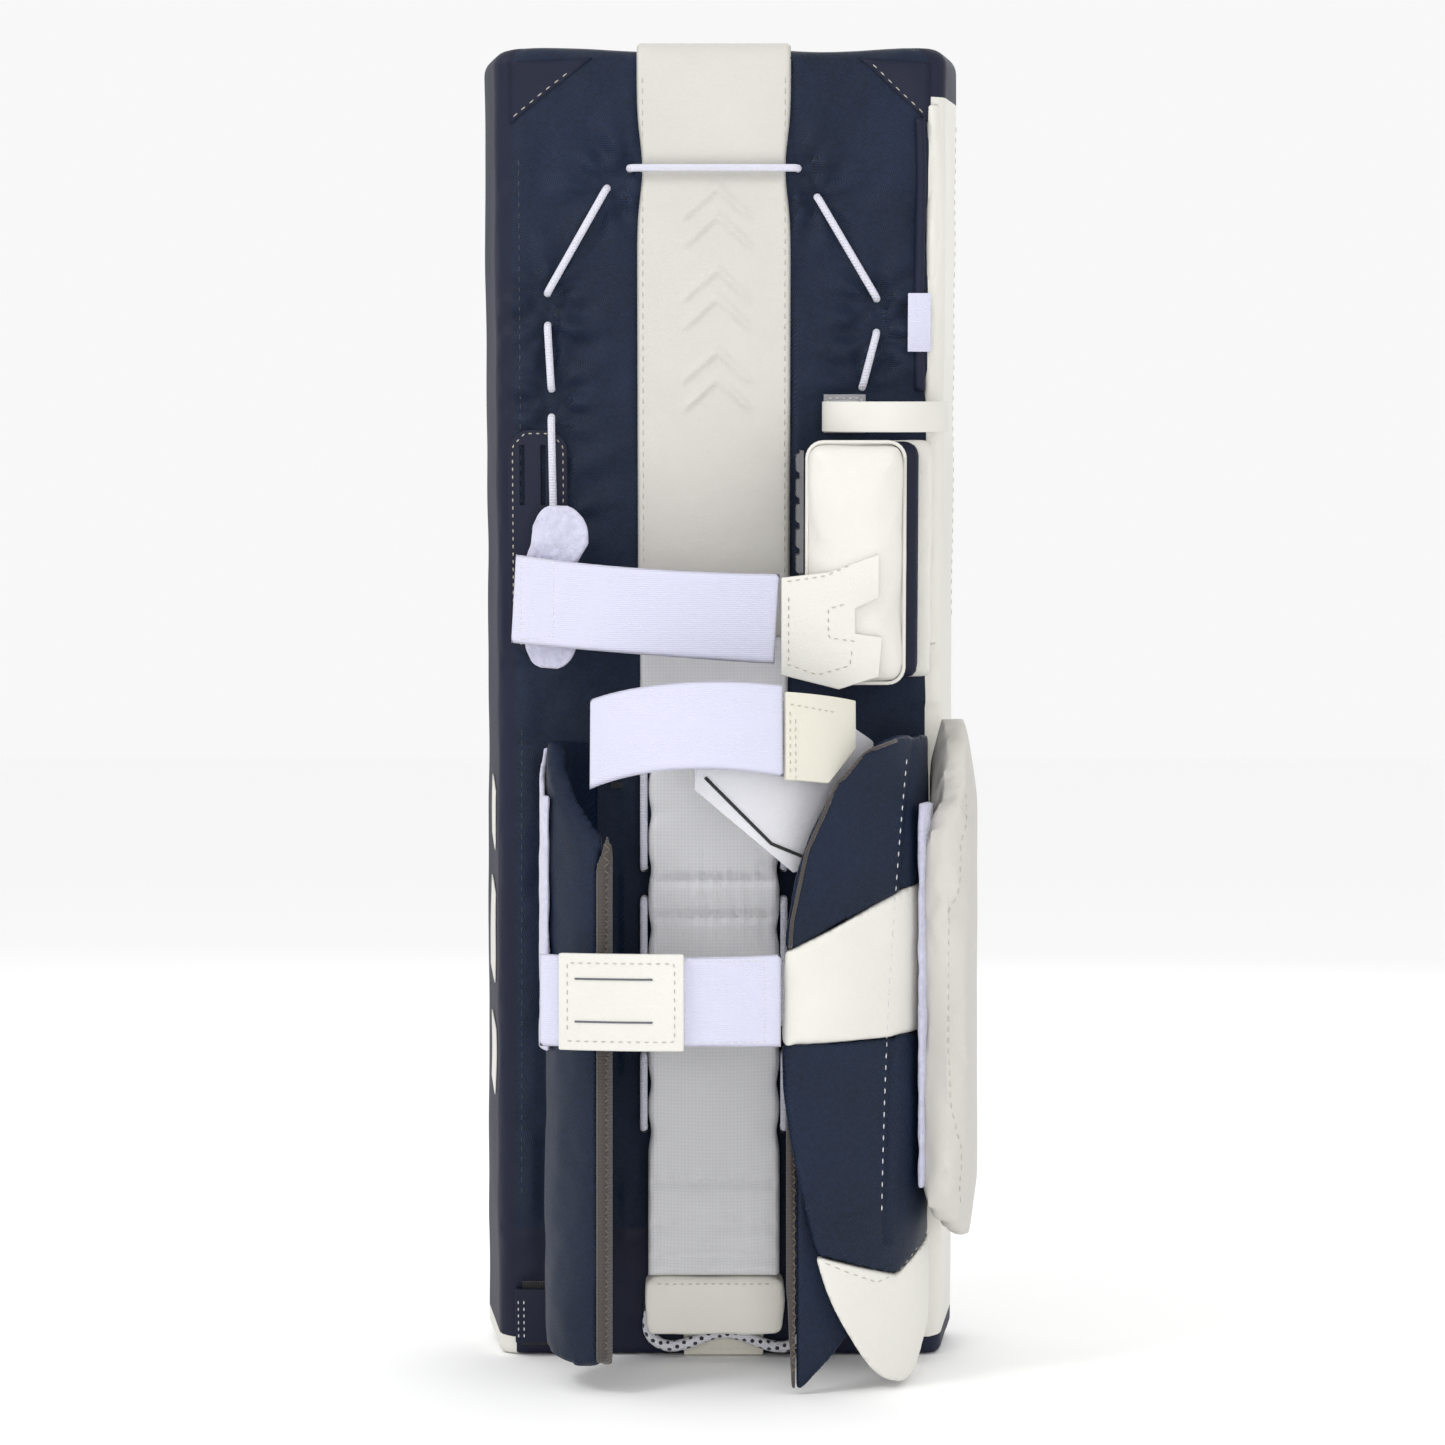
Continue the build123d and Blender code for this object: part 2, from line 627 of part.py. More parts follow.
# ---------------------------------------------------------------- calf wedge
wedge_half = wedge_t / 2
wedge_root = (back_half + 5, back_y - 3)
wedge_hinge = (back_half - 1.5, back_y - 2)
wedge = Curve(wedge_root, (wedge_root[0] + 1, wedge_root[1] - 39), (wedge_root[0] - 12.5, wedge_root[1] - 75))
wedge_z = (ankle_z - 8, knee_z - 23)


def wedge_profile(inset):
    """The wedge's side outline, drawn in by a wall's thickness for the foam inside it."""
    low, high = wedge_z[0] + inset, wedge_z[1] - inset
    edge = wedge_root[1] - 79 + inset
    return side_cut(((far, low + 20), (far, high), (wedge_root[1] - 18, high), (edge + 33, high - 20),
                     (edge + 10, high - 54), (edge, high - 100), (edge, low + 42), (edge + 10, low + 14),
                     (edge + 33, low), (wedge_root[1] - 16, low + 2)))


def wedge_body(inset):
    share = wedge.share_of(inset)
    layer = wedge.layer((-wedge_half + inset, wedge_half - inset), (share, 1 - share))
    return prism(layer, shrunk(wedge_z, inset)) & wedge_profile(inset)


wedge_loop_t = 3.0
calf_wedge = {
    "calf_wedge_cover": wedge_body(0.0) - wedge_body(shell_t),
    "calf_wedge_foam": wedge_body(shell_t),
    "calf_wedge_loop": prism(wedge.layer((-wedge_half - wedge_loop_t, -wedge_half), (0.66, 0.97)),
                             (wedge_z[0] + 34, wedge_z[1] - 50)),
}

# ---------------------------------------------------------------- boot
boot_pad_t = 17.0
boot_pad_x = (cradle_x[0] - 1, cradle_x[1] + 2)
boot_pad_z = (22.0, 56.0)
lip_clear = 2.25          # room on both sides of the bungee that passes behind the pad's lower edge
boot_pad_lip = toe_cord_d + 2 * lip_clear
boot_pad_lip_z = boot_pad_z[0] + 18
tail_x = shrunk(cradle_x, 2)
tail_t = 15.0


def boot_pad():
    pad = slab(boot_pad_x, (back_y - boot_pad_t, back_y), boot_pad_z)
    pad = fillet(pad.edges().filter_by(Axis.Y), 5)
    return pad - slab((-far, far), (back_y - boot_pad_lip, back_y + 1), (0, boot_pad_lip_z))


def cradle_tail():
    """The lowest length of the cradle, sewn to the boot and free to slide over the ankle break."""
    tail = slab(tail_x, (back_y - tail_t, back_y), (boot_pad_z[1] + 0.5, ankle_z + 4))
    over_break = between(back_y - break_gap, far) & height(ankle_z, far)
    return tail - break_round(ankle_z, break_gap) - over_break


boot["boot_pad"] = boot_pad()
boot["cradle_tail"] = cradle_tail()
boot["toe_tab"] = slab((-21, 25), (back_y - tab_t, back_y), (-20, 26))

# The bungee leaves one eyelet, drops over the toe tab, rises behind the boot pad's edge and drops
# again to the other eyelet. Points along its middle, from the outer eyelet to the inner one.
toe_route = (
    (-40.5, -48.2, 27.0), (-42.5, -47.6, 18.0), (-38.5, -46.8, 9.5), (-28.5, -46.0, 5.4),
    (-16.5, -46.6, 8.6), (-5.5, -47.2, 13.4), (5.5, -47.4, 14.6), (16.5, -47.0, 11.4),
    (27.5, -46.4, 6.6), (38.5, -46.0, 5.2), (47.0, -46.8, 10.6), (49.5, -47.6, 19.0),
    (47.5, -48.2, 28.0),
)


def corner_radii(points):
    """The largest tangent arc at each corner: 0.45 of the shorter run over tan(half the turn)."""
    radii = []
    for a, b, c in zip(points, points[1:], points[2:]):
        run_in, run_out = Vector(*b) - Vector(*a), Vector(*c) - Vector(*b)
        turn = radians(run_in.get_angle(run_out))
        radii.append(0.45 * min(run_in.length, run_out.length) / tan(turn / 2))
    return radii


def toe_lace():
    radii = corner_radii(toe_route)
    print("toe lace radii", [round(r, 1) for r in radii])
    path = FilletPolyline(*toe_route, radius=radii)
    section = Plane(origin=path @ 0, z_dir=path % 0) * Circle(toe_cord_d / 2)
    cord = sweep(section, path=path)
    share = cord.volume / (pi * (toe_cord_d / 2) ** 2 * path.length)
    print("toe lace length", round(path.length, 1), "volume over section times length", round(share, 4))
    return cord


eyelet_r = toe_cord_d / 2 + 1.0
eyelet_h = 4.0


def toe_eyelets():
    """Collars on the boot that the ends of the bungee are anchored in."""
    collars = []
    for (x, y, z), (x1, y1, z1) in ((toe_route[0], toe_route[1]), (toe_route[-1], toe_route[-2])):
        along = Vector(x - x1, y - y1, z - z1)
        plane = Plane(origin=(x, y, z), z_dir=along)
        collars.append(extrude(plane * Circle(eyelet_r), amount=eyelet_h))
    return collars


keeper_x = (-back_half + 7.5, -back_half + 33.5)
keeper_z = (14.0, 46.0)
keeper_lift = 4.0
keeper_t = 2.5
keeper_sewn = 3.0


def boot_keeper():
    """Leather bridge that a boot strap threads under, open at its top and bottom."""
    bridge = slab(keeper_x, (back_y - keeper_lift - keeper_t, back_y), keeper_z)
    return bridge - slab(shrunk(keeper_x, keeper_sewn), (back_y - keeper_lift, back_y + 1), (0, far))


boot["boot_keeper"] = boot_keeper()
webbing_t = 1.6
boot["boot_keeper_webbing"] = slab(shrunk(keeper_x, keeper_sewn + 0.5), (back_y - webbing_t, back_y),
                                   (keeper_z[0] - 3, keeper_z[1] + 3))

# ---------------------------------------------------------------- write every piece
sole_cover = boot_tilt(outer_core & boot_region & between(under_cover_y, far)) & height(0, cover_t)
boot = {name: boot_tilt(shape) for name, shape in boot.items()}
boot["boot_face_cover"] += sole_cover
boot["boot_foam"] -= height(-1, cover_t)


def joined(shape):
    """Separate solids of one piece, as one shape."""
    return Compound(children=shape) if isinstance(shape, list) else shape


pieces = {name: thigh_tilt(joined(shape)) for name, shape in {**thigh, **block, **knee_strap_body}.items()}
for group in (shin, boot, wing_o, wing_i, upper, calf, calf_wedge):
    pieces.update({name: joined(shape) for name, shape in group.items()})
pieces["toe_lace"] = toe_lace()
pieces["toe_eyelets"] = joined(toe_eyelets())

os.makedirs("parts", exist_ok=True)
for name, shape in pieces.items():
    solids = shape.solids()
    export_step(solids[0] if len(solids) == 1 else Compound(children=solids), f"parts/{name}.step")
print(len(pieces), "nodes written")

# Plan points of the sewn edges that the moving bodies turn about, before the thigh is tilted.
hinges = {
    "knee block": block_hinge, "knee strap": knee_strap_pivot, "outer wing": outer_root,
    "upper strap": upper_left, "inner wing": inner_root, "calf wedge": wedge_hinge,
    "calf strap": calf_hinge,
}
for name, (x, y) in hinges.items():
    print("hinge of the", name, round(x, 2), round(y, 2))
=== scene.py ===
# %% [markdown]
# # A goalie's leg pad, finished in Blender
# The pad is three foam segments, boot, shin and thigh, in one skin of nylon and synthetic leather.
# Straps, padded wings and a knee block hold the leg behind it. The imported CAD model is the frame:
# it says where every piece is and how it moves. Here each soft piece gets its real surface.

# %% Load the frame
import json
from math import atan2, ceil, cos, exp, pi, radians, sin, sqrt

import bmesh
import bpy
from mathutils import Matrix, Vector, noise
from mathutils.bvhtree import BVHTree


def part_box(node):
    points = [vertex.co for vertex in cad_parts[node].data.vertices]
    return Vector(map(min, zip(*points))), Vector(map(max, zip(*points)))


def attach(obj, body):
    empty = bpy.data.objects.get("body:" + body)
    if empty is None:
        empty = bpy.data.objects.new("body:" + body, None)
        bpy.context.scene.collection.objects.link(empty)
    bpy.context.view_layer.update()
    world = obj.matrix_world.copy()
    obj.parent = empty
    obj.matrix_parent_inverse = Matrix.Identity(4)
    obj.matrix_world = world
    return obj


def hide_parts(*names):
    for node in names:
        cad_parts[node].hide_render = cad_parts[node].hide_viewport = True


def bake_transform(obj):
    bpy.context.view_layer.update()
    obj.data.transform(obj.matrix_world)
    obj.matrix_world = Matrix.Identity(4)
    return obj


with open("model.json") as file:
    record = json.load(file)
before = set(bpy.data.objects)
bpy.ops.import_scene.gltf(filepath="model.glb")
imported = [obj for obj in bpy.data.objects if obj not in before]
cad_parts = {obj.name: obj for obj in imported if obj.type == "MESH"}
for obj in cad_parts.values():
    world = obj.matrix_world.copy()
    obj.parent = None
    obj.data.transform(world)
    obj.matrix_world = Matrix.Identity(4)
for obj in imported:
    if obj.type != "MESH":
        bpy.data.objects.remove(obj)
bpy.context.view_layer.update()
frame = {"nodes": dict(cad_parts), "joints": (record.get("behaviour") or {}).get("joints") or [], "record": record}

MM = 0.001
nodes = frame["nodes"]
joint = {j["name"]: j for j in frame["joints"]}
print("pieces in the frame:", len(nodes))


def put(made):
    """Link an object to the scene and hand it back."""
    bpy.context.scene.collection.objects.link(made)
    return made


# %% [markdown]
# ## Camera, floor and light
# The pad is seen square on from the calf side, so the camera looks along +Y with no tilt. A long
# lens keeps the sides nearly parallel. The light is soft and even, from large panels, because a
# white ground shows cloth by its folds and not by its shadows.

# %% Camera
back_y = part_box("shin_back_cover")[0].y
camera_distance = 1.8
camera_x, camera_z = 0.0014, 0.366
lens = bpy.data.cameras.new("camera")
lens.lens = 77.9
lens.sensor_width = 36.0
camera = put(bpy.data.objects.new("camera", lens))
camera.location = (camera_x, back_y - camera_distance, camera_z)
camera.rotation_euler = (pi / 2, 0, 0)
bpy.context.scene.camera = camera
print("camera stands", camera_distance, "m behind the pad")

# %% Floor, world and lights
world = bpy.data.worlds.new("studio")
world.use_nodes = True
background = world.node_tree.nodes["Background"].inputs
background["Color"].default_value = (1.0, 1.0, 1.0, 1.0)
background["Strength"].default_value = 0.94
bpy.context.scene.world = world
bpy.context.scene.view_settings.view_transform = "Standard"


def area_light(name, place, aim, size, power):
    """A square soft panel that faces a point."""
    data = bpy.data.lights.new(name, "AREA")
    data.size = size
    data.energy = power
    lamp = put(bpy.data.objects.new(name, data))
    lamp.location = place
    lamp.rotation_euler = (Vector(aim) - Vector(place)).to_track_quat("-Z", "Y").to_euler()


middle = (0.0, back_y, 0.4)
area_light("key", (-1.5, -1.2, 2.1), middle, 0.7, 19)
area_light("fill", (1.6, -1.6, 0.9), middle, 1.6, 3)
area_light("low", (0.1, -1.9, 0.35), (0.0, back_y, 0.2), 0.7, 7)
area_light("front", (0.4, 2.2, 1.6), middle, 1.8, 9)

bm = bmesh.new()
bmesh.ops.create_grid(bm, x_segments=2, y_segments=2, size=30.0)
floor_mesh = bpy.data.meshes.new("floor")
bm.to_mesh(floor_mesh)
bm.free()
floor = put(bpy.data.objects.new("floor", floor_mesh))
floor_mesh.transform(Matrix.Translation((0, 0, -0.0005)))
floor_paint = bpy.data.materials.new("floor_paint")
floor_paint.use_nodes = True
floor_shader = floor_paint.node_tree.nodes["Principled BSDF"].inputs
floor_shader["Base Color"].default_value = (0.985, 0.985, 0.985, 1)
floor_shader["Roughness"].default_value = 0.9
floor_mesh.materials.append(floor_paint)

# %% [markdown]
# ## Finishes
# Every finish starts from one recipe: a base colour that drifts a little over the surface, a
# roughness that drifts with it, and a fine pattern for the bump. Woven cloth is two sets of waves
# that cross. Leather is Voronoi cells with soft edges. Pile is plain fine noise. All of them read
# object coordinates, which are metres here, so the scale of a thread is its real one.

# %% Node helpers


class Finish:
    """A material under construction: its tree, its shader and the coordinates it reads."""

    def __init__(self, name, colour, roughness, sheen=0.0, coat=0.0, gloss=0.5):
        self.material = bpy.data.materials.new(name)
        self.material.use_nodes = True
        self.tree = self.material.node_tree
        self.shader = self.tree.nodes["Principled BSDF"]
        self.colour = colour
        self.shader.inputs["Roughness"].default_value = roughness
        self.shader.inputs["Sheen Weight"].default_value = sheen
        self.shader.inputs["Sheen Roughness"].default_value = 0.5
        self.shader.inputs["Coat Weight"].default_value = coat
        self.shader.inputs["Specular IOR Level"].default_value = gloss
        self.place = self.node("ShaderNodeTexCoord").outputs["Object"]

    def node(self, kind, **values):
        made = self.tree.nodes.new(kind)
        for key, value in values.items():
            setattr(made, key, value)
        return made

    def link(self, source, socket):
        self.tree.links.new(source, socket)

    def noise(self, scale, detail=3.0):
        made = self.node("ShaderNodeTexNoise")
        made.inputs["Scale"].default_value = scale
        made.inputs["Detail"].default_value = detail
        self.link(self.place, made.inputs["Vector"])
        return made.outputs["Fac"]

    def cells(self, scale, feature="F1"):
        made = self.node("ShaderNodeTexVoronoi", feature=feature)
        made.inputs["Scale"].default_value = scale
        self.link(self.place, made.inputs["Vector"])
        return made.outputs["Distance"]

    def math(self, operation, a, b=0.0, c=0.0):
        made = self.node("ShaderNodeMath", operation=operation)
        for socket, value in zip(made.inputs, (a, b, c)):
            if isinstance(value, (int, float)):
                socket.default_value = value
            else:
                self.link(value, socket)
        return made.outputs[0]

    def axis(self, name, source=None):
        """One coordinate, X + Y for "XY" or Y - X for "YX". A slanted panel needs one of those two."""
        made = self.node("ShaderNodeSeparateXYZ")
        self.link(source or self.place, made.inputs[0])
        if len(name) == 2:
            mix = "ADD" if name == "XY" else "SUBTRACT"
            return self.math(mix, made.outputs[name[0]], made.outputs[name[1]])
        return made.outputs[name]

    def threads(self, pitch, along, across, turn=0.0):
        """Two crossing sets of threads, one over the other by turns, 0 to 1."""
        a, b = self.axis(along), self.axis(across)
        if turn:
            a, b = (self.math("MULTIPLY_ADD", b, turn, a), self.math("MULTIPLY_ADD", a, -turn, b))
        rate = 2 * pi / pitch
        warp = self.math("SINE", self.math("MULTIPLY", a, rate))
        weft = self.math("SINE", self.math("MULTIPLY", b, rate))
        return self.math("MULTIPLY_ADD", self.math("MULTIPLY", warp, weft), 0.5, 0.5)

    def ramp(self, factor, low, high, start=0.3, end=0.7):
        made = self.node("ShaderNodeValToRGB")
        made.color_ramp.elements[0].position = start
        made.color_ramp.elements[1].position = end
        made.color_ramp.elements[0].color = (*low, 1)
        made.color_ramp.elements[1].color = (*high, 1)
        self.link(factor, made.inputs["Fac"])
        return made.outputs["Color"]

    def paint(self, factor, spread, start=0.3, end=0.7):
        """The base colour, darker and lighter by a spread as the factor goes from 0 to 1."""
        low = tuple(c * (1 - spread) for c in self.colour)
        high = tuple(min(1.0, c * (1 + spread)) for c in self.colour)
        self.link(self.ramp(factor, low, high, start, end), self.shader.inputs["Base Color"])
        return self

    def rough(self, factor, low, high):
        made = self.node("ShaderNodeMapRange")
        made.inputs["To Min"].default_value = low
        made.inputs["To Max"].default_value = high
        self.link(factor, made.inputs["Value"])
        self.link(made.outputs["Result"], self.shader.inputs["Roughness"])
        return self

    def bump(self, *layers):
        """Bump layers of (height, depth in metres), one laid over the other."""
        normal = None
        for height, depth in layers:
            made = self.node("ShaderNodeBump")
            made.inputs["Strength"].default_value = 1.0
            made.inputs["Distance"].default_value = depth
            self.link(height, made.inputs["Height"])
            if normal is not None:
                self.link(normal, made.inputs["Normal"])
            normal = made.outputs["Normal"]
        self.link(normal, self.shader.inputs["Normal"])
        return self


# %% Cloth, leather and pile


def nylon(name, colour, pitch=0.0016, along="XY", across="Z", contrast=0.85):
    """Coarse packcloth: a slanted weave with a soft shine on the crowns of the threads. The crowns are smoother,
    and the base colour is painted lighter on them and darker between them: painted sheen and painted shade over a
    random mottle.
    """
    f = Finish(name, colour, 0.45, gloss=0.2)
    weave = f.threads(pitch, along, across, turn=0.55)
    drift, fleck = f.noise(14, 4), f.noise(420, 2)
    mottle = f.math("MULTIPLY_ADD", fleck, 0.3, f.math("MULTIPLY", drift, 0.25))
    # Base colour: painted sheen on the thread crowns, painted shade between them, and a random mottle of tone.
    f.paint(f.math("MULTIPLY_ADD", weave, 0.45, mottle), contrast, 0.25, 0.75)
    f.rough(weave, 0.56, 0.34)
    return f.bump((drift, 0.0006), (weave, 0.00022)).material


def leather(name, colour, roughness, grain, spread=0.05):
    """Synthetic leather: fine pebbles with low creases, smoother where it is rubbed."""
    f = Finish(name, colour, roughness, gloss=0.22)
    pebbles = f.cells(grain)
    drift = f.noise(9, 4)
    f.paint(drift, spread)
    f.rough(drift, roughness - 0.07, roughness + 0.1)
    return f.bump((f.noise(60, 5), 0.0004), (pebbles, 0.00012)).material


def pile(name, colour):
    """Brushed loop: short fibres that scatter light at every angle."""
    f = Finish(name, colour, 0.95, sheen=0.6)
    fibres = f.noise(1500, 2)
    f.paint(f.noise(220, 5), 0.1)
    return f.bump((f.noise(260, 4), 0.0012), (fibres, 0.0006)).material


def ribbed(name, colour, pitch, axis_name, cross="Z", depth=0.00025):
    """Elastic webbing: fine ribs that run along the strap, crossed by the weft."""
    f = Finish(name, colour, 0.75, sheen=0.25)
    ribs = f.math("SINE", f.math("MULTIPLY", f.axis(axis_name), 2 * pi / pitch))
    weft = f.math("SINE", f.math("MULTIPLY", f.axis(cross), 2 * pi / (pitch * 0.55)))
    both = f.math("MULTIPLY_ADD", ribs, 0.3, f.math("MULTIPLY_ADD", weft, 0.2, 0.5))
    f.paint(both, 0.025, 0.1, 0.9)
    f.rough(both, 0.85, 0.65)
    return f.bump((f.noise(30, 3), 0.0003), (both, depth)).material


def knit(name, colour):
    """Open grey spacer mesh that lines the leg channel: rows of small holes."""
    f = Finish(name, colour, 0.8, sheen=0.35)
    rows = f.threads(0.0016, "X", "Z", turn=1.0)
    f.paint(f.math("MULTIPLY_ADD", rows, 0.7, f.math("MULTIPLY", f.noise(12, 3), 0.3)), 0.16)
    f.rough(rows, 0.9, 0.7)
    return f.bump((f.noise(40, 4), 0.0006), (rows, 0.0003)).material


def foam(name, colour):
    """Closed-cell foam: cut skin with small burst cells."""
    f = Finish(name, colour, 0.9)
    cells = f.cells(650)
    f.paint(f.noise(40, 4), 0.08)
    f.rough(cells, 0.8, 0.98)
    return f.bump((cells, 0.0005)).material


def rubber(name, colour):
    """Moulded rubber: satin, with a very fine sand."""
    f = Finish(name, colour, 0.32, coat=0.3)
    f.paint(f.noise(30, 3), 0.15)
    f.rough(f.noise(80, 3), 0.25, 0.45)
    return f.bump((f.noise(1400, 2), 0.00012)).material


def film(name, colour):
    """Clear film: smoky, glossy, faintly scratched."""
    f = Finish(name, colour, 0.15, coat=0.6)
    f.paint(f.noise(70, 4), 0.15)
    f.rough(f.noise(130, 4), 0.1, 0.3)
    f.shader.inputs["Alpha"].default_value = 0.72
    return f.bump((f.noise(190, 4), 0.0003)).material


navy = (0.0050, 0.0118, 0.0310)
fine_thread = (0.0006, "X")
finish = {}
for make, name, *how in (
        (nylon, "navy_nylon", navy),
        (nylon, "navy_nylon_outer", navy, 0.0016, "YX"),
        (leather, "navy_leather", (0.0075, 0.0100, 0.0270), 0.55, 800, 0.12),
        (leather, "white_leather", (0.655, 0.645, 0.60), 0.4, 850),
        (leather, "panel_leather", (0.53, 0.515, 0.48), 0.42, 850),
        # The boot pad's leather is the white leather painted lighter, as painted light against the shade the wings
        # cast on the pad.
        (leather, "pad_leather", (0.80, 0.78, 0.71), 0.45, 850),
        (leather, "cream_leather", (0.63, 0.61, 0.53), 0.42, 700),
        (leather, "pale_print", (0.11, 0.115, 0.14), 0.5, 900),
        (ribbed, "white_elastic", (0.60, 0.60, 0.74), 0.0011, "Z", "X"),
        (pile, "loop_fabric", (0.52, 0.52, 0.66)),
        (ribbed, "hook_tape", (0.72, 0.72, 0.84), 0.0014, "X", "Z", 0.0006),
        (ribbed, "white_cord", (0.66, 0.66, 0.76), 0.0016, "Z", "X", 0.0005),
        (ribbed, "grey_elastic", (0.16, 0.16, 0.17), 0.0012, "X"),
        (ribbed, "binding_tape", (0.045, 0.036, 0.032), 0.0018, "Z", "Y", 0.0004),
        (ribbed, "black_webbing", (0.008, 0.008, 0.01), 0.0016, "X"),
        # The knit's grey is painted lighter than its own tone, as painted light against the shade it lies in
        # between the wings.
        (knit, "grey_knit", (0.82, 0.82, 0.84)),
        (foam, "core_foam", (0.42, 0.42, 0.40)),
        (rubber, "stiffener_sheet", (0.06, 0.06, 0.065)),
        (rubber, "dark_rubber", (0.012, 0.013, 0.02)),
        (film, "smoke_film", (0.35, 0.35, 0.37)),
        (ribbed, "thread_white", (0.78, 0.78, 0.8), *fine_thread),
        (ribbed, "thread_cream", (0.52, 0.5, 0.42), *fine_thread),
        (ribbed, "thread_navy", (0.02, 0.025, 0.05), *fine_thread),
        (ribbed, "thread_tan", (0.17, 0.125, 0.085), *fine_thread)):
    finish[name] = make(name, *how)
finish["woven_white"] = nylon("woven_white", (0.70, 0.70, 0.74), 0.0013, contrast=0.06)
print("finishes:", len(finish))

# %% [markdown]
# ## The toe bungee
# One short elastic cord holds the toe of the skate to the boot. It leaves one eyelet, drops over
# the toe tab, passes behind the boot pad and ends in the other eyelet. A NURBS spline with the
# route's points gives it one smooth line, and a grid rolled round that line gives it a skin
# with a UV map, so its dark flecks can follow the cord instead of cutting through it.

# %% The cord's route and its line
toe_cord_d = 0.0065
toe_route = (
    (-0.0405, -0.0482, 0.0270), (-0.0425, -0.0476, 0.0180), (-0.0385, -0.0468, 0.0095),
    (-0.0285, -0.0460, 0.0054), (-0.0165, -0.0466, 0.0086), (-0.0055, -0.0472, 0.0134),
    (0.0055, -0.0474, 0.0146), (0.0165, -0.0470, 0.0114), (0.0275, -0.0464, 0.0066),
    (0.0385, -0.0460, 0.0052), (0.0470, -0.0468, 0.0106), (0.0495, -0.0476, 0.0190),
    (0.0475, -0.0482, 0.0280),
)


def nurbs_line(name, route):
    """The points of a smooth spline that has the route's points as its control points."""
    curve = bpy.data.curves.new(name, "CURVE")
    curve.dimensions = "3D"
    curve.resolution_u = 12
    spline = curve.splines.new("NURBS")
    spline.points.add(len(route) - 1)
    for point, place in zip(spline.points, route):
        point.co = (*place, 1.0)
    spline.order_u = 3
    spline.use_endpoint_u = True
    holder = put(bpy.data.objects.new(name, curve))
    bpy.context.view_layer.update()
    mesh = bpy.data.meshes.new_from_object(holder)
    line = [v.co.copy() for v in mesh.vertices]
    bpy.data.objects.remove(holder)
    bpy.data.meshes.remove(mesh)
    return line


toe_line = nurbs_line("toe_line", toe_route)

# %% [markdown]
# ## Helpers for soft goods
# Three ways to make cloth pieces cover this whole pad. A *soft copy* remeshes the CAD solid to an
# even skin and relaxes it, which rounds padding. An *edged copy* keeps a flat patch flat and only
# rounds its cut edge. A *sheet of grid*, shaped by a rule, is for straps and the long covers.

# %% Put a mesh in the scene
record_slots = [m["slot"] for m in frame["record"]["materials"]]
# Finishes that the record has no slot for take the nearest one.
near_slot = {name: "white_cord" for name in finish if name not in record_slots}
near_slot.update(pad_leather="white_leather", panel_leather="white_leather", toe_bungee="white_cord",
                 navy_nylon_outer="navy_nylon")


def piece(bm, name, body, materials, replaces=()):
    """An object from a bmesh, with its finish, riding on a body."""
    bmesh.ops.recalc_face_normals(bm, faces=bm.faces)
    mesh = bpy.data.meshes.new(name)
    bm.to_mesh(mesh)
    bm.free()
    for material in materials:
        mesh.materials.append(finish[material])
    mesh.polygons.foreach_set("use_smooth", [True] * len(mesh.polygons))
    made = put(bpy.data.objects.new(name, mesh))
    if body:
        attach(made, body)
    if replaces:
        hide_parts(*replaces)
    return made


def tube(bm, line, radius, sides=10):
    """A grid rolled round a line and joined into a tube, with a UV map in metres."""
    uv = bm.loops.layers.uv.verify()
    run = [0.0]
    for a, b in zip(line, line[1:]):
        run.append(run[-1] + (b - a).length)
    last = len(line) - 1
    skin = bmesh.ops.create_grid(bm, x_segments=sides, y_segments=last, size=0.5)["verts"]
    up = Vector((0.3, 1.0, 0.2)).normalized()
    for v in skin:
        i, k = round((v.co.y + 0.5) * last), round((v.co.x + 0.5) * sides)
        along = (line[min(i + 1, last)] - line[max(i - 1, 0)]).normalized()
        side = along.cross(up).normalized()
        turn = 2 * pi * k / sides
        for loop in v.link_loops:
            loop[uv].uv = (turn * radius, run[i])
        v.co = line[i] + radius * (cos(turn) * side + sin(turn) * side.cross(along))
    bmesh.ops.remove_doubles(bm, verts=skin, dist=1e-7)
    bmesh.ops.holes_fill(bm, edges=[e for e in bm.edges if e.is_boundary], sides=0)


bungee_finish = Finish("toe_bungee", (0.72, 0.72, 0.78), 0.75, sheen=0.3)
bungee_finish.place = bungee_finish.node("ShaderNodeTexCoord").outputs["UV"]
braid = bungee_finish.threads(0.0021, "X", "Y", turn=1.0)
flecks = bungee_finish.math("GREATER_THAN", bungee_finish.threads(0.0075, "X", "Y", turn=0.5), 0.72)
fleck_mix = bungee_finish.ramp(flecks, (0.72, 0.72, 0.78), (0.02, 0.02, 0.03), 0.4, 0.6)
bungee_finish.link(fleck_mix, bungee_finish.shader.inputs["Base Color"])
bungee_finish.rough(braid, 0.85, 0.65).bump((braid, 0.0004))
finish["toe_bungee"] = bungee_finish.material

bm = bmesh.new()
tube(bm, toe_line, toe_cord_d / 2, 14)
toe_lace = piece(bm, "toe_bungee", "boot", ["toe_bungee"], ["toe_lace"])

# %% Copies of CAD solids


def merged(*names):
    """The CAD nodes' meshes as one bmesh, their loose triangles joined."""
    bm = bmesh.new()
    for name in names:
        bm.from_mesh(nodes[name].data)
    bmesh.ops.remove_doubles(bm, verts=bm.verts, dist=1e-6)
    return bm


def held(bm):
    """A throwaway object with the bmesh in it, ready for modifiers."""
    mesh = bpy.data.meshes.new("work")
    bm.to_mesh(mesh)
    bm.free()
    return put(bpy.data.objects.new("work", mesh))


def taken(holder):
    """The holder's mesh after its modifiers, as a bmesh. The holder is removed."""
    out, mesh = bmesh.new(), holder.data
    out.from_object(holder, bpy.context.evaluated_depsgraph_get())
    bpy.data.objects.remove(holder)
    bpy.data.meshes.remove(mesh)
    return out


def applied(bm, kind, **settings):
    """The bmesh after one modifier."""
    holder = held(bm)
    modifier = holder.modifiers.new(kind.lower(), kind)
    for key, value in settings.items():
        setattr(modifier, key, value)
    bpy.context.view_layer.update()
    return taken(holder)


